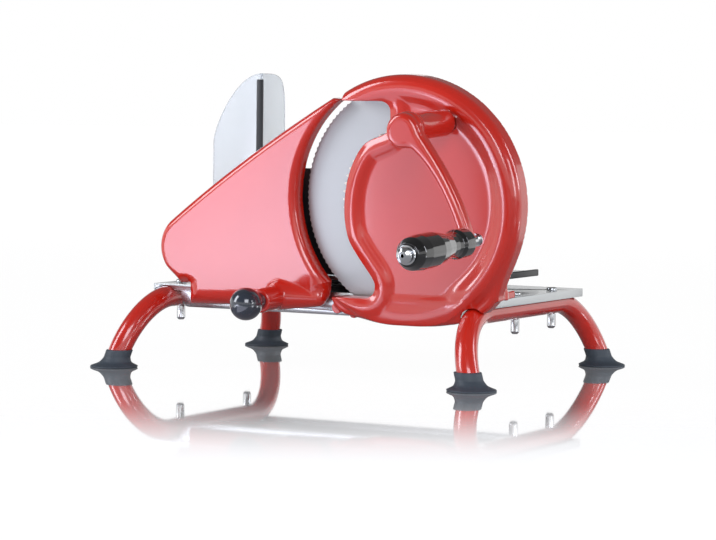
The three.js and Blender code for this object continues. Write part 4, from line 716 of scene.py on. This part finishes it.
# Turned pieces, each as a profile of (radius, depth, rounding)
ball = {"x": -28.0, "z": -79.5, "radius": 13.0, "depth": -67.0}
ballTurns = [math.radians(angle) for angle in [*range(56, -90, -4), -90]]
turnedPieces = {
    "grip": {
        "nodes": ["grip"], "at": (handleX, handleZ),
        "profile": [(3.6, -99.6), (10.0, -99.6, 0.8), (11.2, -101.0, 1.0), (11.2, -113.6, 1.8),
                    (9.6, -117.0, 2.5), (9.0, -122.0, 6.0), (9.3, -129.5, 6.0), (11.6, -142.5, 9.0),
                    (13.2, -154.0, 9.0), (13.2, -174.0, 9.0), (12.2, -184.5, 5.0), (8.8, -190.55, 1.2),
                    (3.6, -190.6)],
    },
    "gripEndCap": {
        "nodes": ["grip_end_cap"], "at": (handleX, handleZ),
        "profile": [(3.65, -190.9), (7.2, -190.9, 0.3), (7.4, -191.8, 0.7), (7.2, -192.7, 0.3),
                    (4.6, -192.8, 0.2), (4.6, -194.2, 0.2), (6.0, -194.3, 0.3), (6.1, -196.4, 1.4),
                    (3.2, -198.4, 1.4), (0, -198.4)],
    },
    "gripWasher": {
        "nodes": ["grip_washer"], "at": (handleX, handleZ),
        "profile": [(3.8, -98.35), (8.0, -98.35, 0.3), (8.0, -99.25, 0.3), (3.8, -99.25)],
    },
    "handleSpindle": {
        "nodes": ["handle_spindle"], "at": (handleX, handleZ),
        "profile": [(0, -189.9), (3.5, -189.9, 0.5), (3.5, -77.7), (5.0, -77.7, 0.2), (5.0, -76.5, 0.6),
                    (0, -76.5)],
    },
    "crankShaft": {
        "nodes": ["crank_shaft"], "at": (crankX, crankZ),
        "profile": [(0, -92.0), (5.0, -92.0, 0.4), (5.0, -2.4, 0.4), (0, -2.4)],
    },
    "crankBush": {
        "nodes": ["crank_bush"], "at": (crankX, crankZ),
        "profile": [(5.1, -26.5), (6.8, -26.5, 0.6), (6.8, -10.7, 0.3), (5.1, -10.7)],
    },
    "ballKnob": {
        "nodes": ["adjusting_knob"], "at": (ball["x"], ball["z"]),
        "profile": [(0, -47.4), (7.0, -47.4, 0.5), (7.0, -55.0, 0.8)] + [
            (ball["radius"] * math.cos(a), ball["depth"] + ball["radius"] * math.sin(a)) for a in ballTurns],
    },
}
for pieceName, settings in turnedPieces.items():
    profile = roundedProfile(settings["profile"], 6)
    if profile[0][0] > 0:  # bored through: the profile closes on itself
        profile.append(profile[0])
    turned = turnedMesh(pieceName, profile, settings["at"], headToFrame)
    crisp(finishPiece(pieceName, turned, settings["nodes"]), 40)
print("turned pieces done")


# Geometry Nodes: a tree with named inputs on a host mesh, evaluated once and kept as a plain mesh
def newTree(name, inputs):
    tree = bpy.data.node_groups.new(name, "GeometryNodeTree")
    tree.interface.new_socket("Geometry", in_out="INPUT", socket_type="NodeSocketGeometry")
    for label, kind in inputs:
        tree.interface.new_socket(label, in_out="INPUT", socket_type=kind)
    tree.interface.new_socket("Geometry", in_out="OUTPUT", socket_type="NodeSocketGeometry")
    return tree, tree.nodes.new("NodeGroupInput"), tree.nodes.new("NodeGroupOutput")


def treeNode(tree, kind, inputs=None, **settings):
    node = tree.nodes.new(kind)
    for key, value in settings.items():
        setattr(node, key, value)
    for key, value in (inputs or {}).items():
        socket = node.inputs[key]
        if isinstance(value, bpy.types.NodeSocket):
            tree.links.new(value, socket)
        else:
            socket.default_value = value
    return node


def bakeTree(host, tree, values):
    modifier = host.modifiers.new(tree.name, "NODES")
    modifier.node_group = tree
    sockets = [item for item in tree.interface.items_tree if item.in_out == "INPUT"]
    identifiers = {item.name: item.identifier for item in sockets}
    for label, value in values.items():
        modifier[identifiers[label]] = value
    bpy.context.view_layer.update()
    evaluated = host.evaluated_get(bpy.context.evaluated_depsgraph_get())
    mesh = bpy.data.meshes.new_from_object(evaluated)
    host.modifiers.remove(modifier)
    bpy.data.objects.remove(host)
    return mesh


# Serration: every corner past the bevel is drawn in by a scallop that repeats round the rim
def serrationTree():
    tree, given, made = newTree("serration", [
        ("Teeth", "NodeSocketInt"), ("Depth", "NodeSocketFloat"), ("Rim", "NodeSocketFloat"),
        ("Band", "NodeSocketFloat"), ("Finish", "NodeSocketMaterial")])
    position = treeNode(tree, "GeometryNodeInputPosition").outputs["Position"]
    parts = treeNode(tree, "ShaderNodeSeparateXYZ", {"Vector": position})
    flat = treeNode(tree, "ShaderNodeCombineXYZ", {"X": parts.outputs["X"], "Z": parts.outputs["Z"]})
    radius = treeNode(tree, "ShaderNodeVectorMath", {0: flat.outputs["Vector"]}, operation="LENGTH")
    values = {name: given.outputs[name] for name in ("Teeth", "Depth", "Rim", "Band")}
    values.update(x=parts.outputs["X"], z=parts.outputs["Z"], radius=radius.outputs["Value"])

    # Each row: what it makes, the operation, and the values or numbers that it takes
    def work(*rows):
        for result, operation, *sources in rows:
            inputs = {k: values.get(source, source) for k, source in enumerate(sources)}
            values[result] = treeNode(tree, "ShaderNodeMath", inputs, operation=operation).outputs[0]

    work(("angle", "ARCTAN2", "z", "x"), ("half", "MULTIPLY", "Teeth", 0.5),
         ("wave", "MULTIPLY", "angle", "half"), ("sine", "SINE", "wave"), ("scallop", "ABSOLUTE", "sine"),
         ("start", "SUBTRACT", "Rim", "Band"))
    share = treeNode(tree, "ShaderNodeMapRange", {
        "Value": values["radius"], "From Min": values["start"], "From Max": values["Rim"]})
    values["share"] = share.outputs["Result"]
    work(("drawn", "MULTIPLY", "scallop", "Depth"), ("inward", "MULTIPLY", "drawn", "share"),
         ("safe", "MAXIMUM", "radius", 0.0001), ("scale", "DIVIDE", "inward", "safe"),
         ("pull", "MULTIPLY", "scale", -1.0))
    offset = treeNode(tree, "ShaderNodeVectorMath", {0: flat.outputs["Vector"], "Scale": values["pull"]},
                      operation="SCALE")
    moved = treeNode(tree, "GeometryNodeSetPosition", {
        "Geometry": given.outputs["Geometry"], "Offset": offset.outputs["Vector"]})
    real = treeNode(tree, "GeometryNodeRealizeInstances", {"Geometry": moved.outputs["Geometry"]})
    finish = treeNode(tree, "GeometryNodeSetMaterial", {
        "Geometry": real.outputs["Geometry"], "Material": given.outputs["Finish"]})
    tree.links.new(finish.outputs["Geometry"], made.inputs["Geometry"])
    return tree


blade = {
    "teeth": 130, "toothSteps": 8, "depth": 0.9, "rim": 95.0, "band": 2.4,
    "profile": [(15.3, -0.02), (60.0, -0.02), (92.0, -0.02), (94.4, -0.02), (95.0, -0.15), (95.0, -0.35),
                (94.0, -0.47), (92.0, -0.7), (84.0, -1.6), (60.0, -1.6), (15.3, -1.6), (15.3, -0.02)],
}
bladeMesh = turnedMesh("blade blank", blade["profile"], (0, 0), Matrix.Identity(4),
                       blade["teeth"] * blade["toothSteps"])
bladeHost = bpy.data.objects.new("bladeHost", bladeMesh)
bpy.context.scene.collection.objects.link(bladeHost)
bladeMesh = bakeTree(bladeHost, serrationTree(), {
    "Teeth": blade["teeth"], "Depth": blade["depth"], "Rim": blade["rim"], "Band": blade["band"],
    "Finish": bladeSteel})
bladeMesh.transform(bladeToFrame)
crisp(finishPiece("bladeDisc", bladeMesh, ["blade"], bladeSteel), 12)
print("blade done")


# Copies of a turned fastener at a list of places, as one piece
def fastenerTree():
    tree, given, made = newTree("fasteners", [
        ("Fastener", "NodeSocketObject"), ("Finish", "NodeSocketMaterial")])
    info = treeNode(tree, "GeometryNodeObjectInfo", {"Object": given.outputs["Fastener"]})
    spots = treeNode(tree, "GeometryNodeMeshToPoints", {"Mesh": given.outputs["Geometry"]})
    copies = treeNode(tree, "GeometryNodeInstanceOnPoints", {
        "Points": spots.outputs["Points"], "Instance": info.outputs["Geometry"]})
    real = treeNode(tree, "GeometryNodeRealizeInstances", {"Geometry": copies.outputs["Instances"]})
    finish = treeNode(tree, "GeometryNodeSetMaterial", {
        "Geometry": real.outputs["Geometry"], "Material": given.outputs["Finish"]})
    tree.links.new(finish.outputs["Geometry"], made.inputs["Geometry"])
    return tree


# Fasteners: profiles of (radius, height, rounding), each at its spots
boltSpots = [(-144.7, -50, 0), (-144.7, 60, 0), (144.7, -10, 0), (144.7, 60, 0)]
boltPlaces = ["left_front", "left_rear", "right_middle", "right_rear"]
fasteners = {
    "plateBolts": {
        "nodes": [f"{place}_bolt" for place in boltPlaces],
        "spots": boltSpots,
        "profile": [(0, 40.4), (2.0, 40.4, 0.4), (2.0, 66.6), (4.6, 66.6, 0.3), (4.6, 68.1, 1.2),
                    (2.8, 69.0, 1.4), (0, 69.0)],
    },
    "sleeveNuts": {
        "nodes": [f"{place}_sleeve_nut" for place in boltPlaces],
        "spots": boltSpots,
        "profile": [(2.4, 47.0), (3.6, 47.0, 0.3), (3.6, 37.0, 1.6), (2.2, 35.02, 1.6), (0, 35.02), (0, 39.8),
                    (2.4, 39.8), (2.4, 47.0)],
    },
    "railScrews": {
        "nodes": ["rail_screw_left", "rail_screw_right"],
        "spots": [(-112, 20, 0), (77, 20, 0)],
        "profile": [(0, 61.0), (1.9, 61.0), (1.9, 71.0), (3.6, 72.8, 0.15), (0, 72.8)],
    },
    "housingPadScrew": {
        "nodes": ["housing_pad_screw"],
        "spots": [(144.7, -63, 0)],
        "profile": [(0, 57.9), (2.4, 57.9, 0.3), (2.4, 72.9), (4.2, 72.9, 0.2), (4.2, 74.6, 1.0),
                    (2.6, 75.3, 1.0), (0, 75.3)],
    },
}
fastenerNodes = fastenerTree()
for pieceName, settings in fasteners.items():
    profile = roundedProfile(settings["profile"], 4)
    single = bpy.data.objects.new("single", turnedMesh("single", profile, (0, 0), upright, 40))
    spotMesh = bpy.data.meshes.new("spots")
    spotMesh.from_pydata([Vector(spot) for spot in settings["spots"]], [], [])
    host = bpy.data.objects.new("spots", spotMesh)
    for helper in (single, host):
        bpy.context.scene.collection.objects.link(helper)
    mesh = bakeTree(host, fastenerNodes, {"Fastener": single, "Finish": platedSteel})
    bpy.data.objects.remove(single)
    mesh.transform(toFrame)
    crisp(finishPiece(pieceName, outwards(mesh), settings["nodes"]), 40)
print("fasteners done")

# Sheet and moulded pieces with broken edges, each with the width that is broken
brokenEdges = {
    "basePlate": ("base_plate", 0.5),
    "guideRail": ("guide_rail", 0.5),
    "trayRunner": ("runner", 0.6),
    "carriageTray": ("tray", 0.6),
    "remnantHolder": ("remnant_holder", 0.5),
    "cornerStrip": ("corner_strip", 0.4),
    "trayEdgeTrim": ("tray_edge_trim", 0.8),
}
for pieceName, (node, width) in brokenEdges.items():
    softenedPiece(pieceName, [node], width)
print("sheet pieces done")


# Prism of a flat outline in the x and z or the y and z plane, with rounded rims
def prism(outline, plane, start, end, rim):
    shape = bmesh.new()

    def lift(a, b, height):
        return (a, height, b) if plane == "xz" else (height, a, b)

    lower = [shape.verts.new(lift(a, b, start)) for a, b in outline]
    face = shape.faces.new(lower)
    made = bmesh.ops.extrude_face_region(shape, geom=[face])
    moved = [v for v in made["geom"] if isinstance(v, bmesh.types.BMVert)]
    shift = (0, end - start, 0) if plane == "xz" else (end - start, 0, 0)
    bmesh.ops.translate(shape, verts=moved, vec=shift)
    bmesh.ops.recalc_face_normals(shape, faces=shape.faces)
    if rim > 0:
        edges = [e for e in shape.edges if any(len(f.verts) > 4 for f in e.link_faces)]
        bmesh.ops.bevel(shape, geom=edges, offset=rim, segments=3, profile=0.5, affect="EDGES",
                        clamp_overlap=True)
    mesh = bpy.data.meshes.new("prism")
    shape.to_mesh(mesh)
    shape.free()
    return mesh


def unionOf(meshes):
    pieces = []
    for mesh in meshes:
        piece = bpy.data.objects.new("part", mesh)
        bpy.context.scene.collection.objects.link(piece)
        pieces.append(piece)
    for other in pieces[1:]:
        modifier = pieces[0].modifiers.new("join", "BOOLEAN")
        modifier.operation = "UNION"
        modifier.solver = "EXACT"
        modifier.object = other
    bpy.context.view_layer.update()
    evaluated = pieces[0].evaluated_get(bpy.context.evaluated_depsgraph_get())
    mesh = bpy.data.meshes.new_from_object(evaluated)
    for piece in pieces:
        bpy.data.objects.remove(piece)
    return mesh


# Pusher wall: one clear moulding of side wall, thumb guard and foot, each a prism from and to
wall = {
    "rim": 0.4, "top": 241.0, "bottom": 79.3, "rear": 98.0, "front": -73.0, "low": 130.0, "corner": 26.0,
    "step": -35.0, "side": (-58.0, -55.0), "guard": (-73.0, -70.0), "foot": (-40.0, 90.0),
    "sideTop": [(-35.0, 195.0), (-35.0, 241.0), (-38.0, 241.0), (-73.0, 241.0)],
    "guardCurves": [
        ([(-56.0, 241.0), (-79.5, 241.0), (-101.0, 198.0), (-101.0, 184.0)], 24),
        ([(-101.0, 118.0), (-101.0, 86.0), (-55.0, 86.0)], 16),
    ],
    "footOutline": [(-58.0, 79.3), (-44.0, 79.3), (-44.0, 82.3), (-58.0, 82.3)],
}
sideOutline = [(wall["front"], wall["bottom"]), (wall["rear"], wall["bottom"])]
corner = wall["corner"]
sideOutline += arc(wall["rear"] - corner, wall["low"] - corner, corner, 0, math.pi / 2, 16)
sideOutline += [(wall["step"], wall["low"])] + bezier(wall["sideTop"], 24)
guardOutline = [(wall["side"][1], wall["top"])] + curvesOf(wall["guardCurves"])
wallMesh = unionOf([
    prism(sideOutline, "yz", *wall["side"], wall["rim"]),
    prism(guardOutline, "xz", *wall["guard"], wall["rim"]),
    prism(wall["footOutline"], "xz", *wall["foot"], 0),
])
wallMesh.transform(toFrame)
crisp(finishPiece("pusherWall", outwards(wallMesh), ["pusher_wall"], clearWall), 30)
print("wall done")

# Floor: matt and pale, with a polish that fades towards the camera and shows only at a low
# angle. Each range is from, to, and the values there; lengths are in metres.
floor = {
    "reach": 14, "towards": (0.474, -0.881, 0), "fade": (0.18, 0.57, 0.92, 0.0),
    "lowAngle": (0.66, 0.80, 0.0, 1.0), "glow": (0.9, 3.0, 0.67, 1.0),
}
floorMaterial = newMaterial("pale polished floor", "B4B4B4", Roughness=0.6)
floorShader = floorMaterial.node_tree.nodes["Principled BSDF"]
lightPath = addNode(floorMaterial, "ShaderNodeLightPath")
seen = addNode(floorMaterial, "ShaderNodeMath", operation="ADD", use_clamp=True)
floorPlace = addNode(floorMaterial, "ShaderNodeTexCoord")
towards = addNode(floorMaterial, "ShaderNodeVectorMath", operation="DOT_PRODUCT")
towards.inputs[1].default_value = floor["towards"]
outwardFrom = addNode(floorMaterial, "ShaderNodeVectorMath", operation="LENGTH")
facing = addNode(floorMaterial, "ShaderNodeLayerWeight", Blend=0.5)
link(floorMaterial, lightPath, "Is Camera Ray", seen, 0)
link(floorMaterial, lightPath, "Is Transmission Ray", seen, 1)
link(floorMaterial, floorPlace, "Object", towards, 0)
link(floorMaterial, floorPlace, "Object", outwardFrom, 0)


def floorRange(source, output, values):
    node = addNode(floorMaterial, "ShaderNodeMapRange", interpolation_type="SMOOTHSTEP")
    for socket, value in zip(("From Min", "From Max", "To Min", "To Max"), values):
        node.inputs[socket].default_value = value
    link(floorMaterial, source, output, node, 0)
    return node


def floorProduct(first, second):
    node = addNode(floorMaterial, "ShaderNodeMath", operation="MULTIPLY")
    link(floorMaterial, first, 0, node, 0)
    link(floorMaterial, second, 0, node, 1)
    return node


glow = floorProduct(seen, floorRange(outwardFrom, "Value", floor["glow"]))
fade = floorProduct(floorRange(towards, "Value", floor["fade"]),
                    floorRange(facing, "Facing", floor["lowAngle"]))
floorShader.inputs["Emission Color"].default_value = (1, 1, 1, 1)
floorShader.inputs["Specular IOR Level"].default_value = 0
link(floorMaterial, glow, 0, floorShader, "Emission Strength")
polish = addNode(floorMaterial, "ShaderNodeBsdfGlossy", Roughness=0.03, Color=(1, 1, 1, 1))
floorMix = addNode(floorMaterial, "ShaderNodeMixShader")
link(floorMaterial, fade, 0, floorMix, 0)
link(floorMaterial, floorShader, 0, floorMix, 1)
link(floorMaterial, polish, 0, floorMix, 2)
link(floorMaterial, floorMix, 0, floorMaterial.node_tree.nodes["Material Output"], "Surface")


def stagePiece(name, points, faces, material):
    mesh = bpy.data.meshes.new(name)
    mesh.from_pydata(points, [], faces)
    mesh.materials.append(material)
    piece = bpy.data.objects.new(name, mesh)
    bpy.context.scene.collection.objects.link(piece)
    return piece


floorCorners = [(floor["reach"] * x, floor["reach"] * y, 0) for x, y in ((-1, -1), (1, -1), (1, 1), (-1, 1))]
stagePiece("floor", floorCorners, [(0, 1, 2, 3)], floorMaterial)

# White backdrop all round, low, so that the floor has something white to mirror
backdrop = {"radius": 13.0, "height": 3.4, "sides": 48}
backdropMaterial = newMaterial("white backdrop", "000000", Specular_IOR_Level=0, Emission_Strength=1.0)
backdropShader = backdropMaterial.node_tree.nodes["Principled BSDF"]
backdropShader.inputs["Emission Color"].default_value = (1, 1, 1, 1)
sides = backdrop["sides"]
rimPoints = arc(0, 0, backdrop["radius"], 0, 2 * math.pi, sides)[:-1]
rimFaces = [(k, (k + 1) % sides, (k + 1) % sides + sides, k + sides) for k in range(sides)]
backdropPoints = [(x, y, height) for height in (0, backdrop["height"]) for x, y in rimPoints]
stagePiece("backdrop", backdropPoints, rimFaces, backdropMaterial)

# World: white where it is seen, dim where it lights or is mirrored
dimmed = 0.16
world = bpy.data.worlds.new("studio")
bpy.context.scene.world = world
world.use_nodes = True
sky = world.node_tree.nodes["Background"]
sky.inputs["Color"].default_value = (1, 1, 1, 1)
worldPath = addNode(world, "ShaderNodeLightPath")
worldSeen = addNode(world, "ShaderNodeMath", operation="ADD", use_clamp=True)
worldGlow = addNode(world, "ShaderNodeMapRange")
worldGlow.inputs["To Min"].default_value = dimmed
link(world, worldPath, "Is Camera Ray", worldSeen, 0)
link(world, worldPath, "Is Transmission Ray", worldSeen, 1)
link(world, worldSeen, 0, worldGlow, "Value")
link(world, worldGlow, "Result", sky, "Strength")


def areaLamp(name, size, power, hexCode):
    data = bpy.data.lights.new(name, "AREA")
    data.shape = "RECTANGLE"
    data.size, data.size_y = size
    data.energy = power
    data.color = linear(hexCode)[:3]
    lamp = bpy.data.objects.new(name, data)
    bpy.context.scene.collection.objects.link(lamp)
    return lamp


# Soft boxes aimed at the slicer's middle: bearing from its front and rise in degrees, size, watts
softBoxes = {
    "key": (-54, 27, (0.9, 1.8), 42),
    "front": (34, 24, (1.3, 1.1), 32),
    "side": (78, 14, (0.5, 1.2), 13),
    "rim": (122, 20, (0.5, 1.4), 16),
}
boxDistance, boxAim = 2.9, Vector((0, 0, 0.12))
for lampName, (bearing, rise, size, power) in softBoxes.items():
    lamp = areaLamp(lampName, size, power, "F2F5FF")
    turn, lift = math.radians(bearing), math.radians(rise)
    away = Vector((math.sin(turn) * math.cos(lift), -math.cos(turn) * math.cos(lift), math.sin(lift)))
    lamp.location = boxAim + boxDistance * away
    lamp.rotation_euler = (-away).to_track_quat("-Z", "Y").to_euler()

# Light tables on the floor, which the flat faces lean towards and mirror: near end, far end, width, watts
lightTables = {
    "gaugeTable": ((-0.25, -0.32), (-1.15, -2.0), 0.24, 9.5),
    "faceTable": ((0.0, -0.15), (-0.90, -1.95), 0.17, 1.6),
}
tableHeight = 0.004
for lampName, (near, far, width, power) in lightTables.items():
    near, far = Vector((*near, tableHeight)), Vector((*far, tableHeight))
    along = (far - near).normalized()
    lamp = areaLamp(lampName, (width, (far - near).length), power, "E6E9FF")
    turn = Matrix((along.cross(Vector((0, 0, -1))), along, (0, 0, -1))).transposed().to_4x4()
    lamp.matrix_world = Matrix.Translation((near + far) / 2) @ turn
    lamp.visible_camera = False

# Camera at the photograph's angle
camera = {
    "azimuth": math.radians(28.27), "elevation": math.radians(3.66), "roll": math.radians(0.74),
    "distance": 2389.7, "target": (-4.11, 0.0, 79.76), "lens": 145.14, "sensor": 36.0,
}
sinA, cosA = math.sin(camera["azimuth"]), math.cos(camera["azimuth"])
sinE, cosE = math.sin(camera["elevation"]), math.cos(camera["elevation"])
backward = Vector((sinA * cosE, -cosA * cosE, sinE))
level = Vector((cosA, sinA, 0))
lift = backward.cross(level)
sinR, cosR = math.sin(camera["roll"]), math.cos(camera["roll"])
right = cosR * level + sinR * lift
upward = cosR * lift - sinR * level
cameraData = bpy.data.cameras.new("camera")
cameraData.lens = camera["lens"]
cameraData.sensor_width = camera["sensor"]
cameraObject = bpy.data.objects.new("camera", cameraData)
turn = Matrix((right, upward, backward)).transposed().to_4x4()
eye = toFrame @ (Vector(camera["target"]) + camera["distance"] * backward)
cameraObject.matrix_world = Matrix.Translation(eye) @ turn
bpy.context.scene.collection.objects.link(cameraObject)
bpy.context.scene.camera = cameraObject
bpy.context.scene.view_settings.view_transform = "Standard"
print("stage ready")
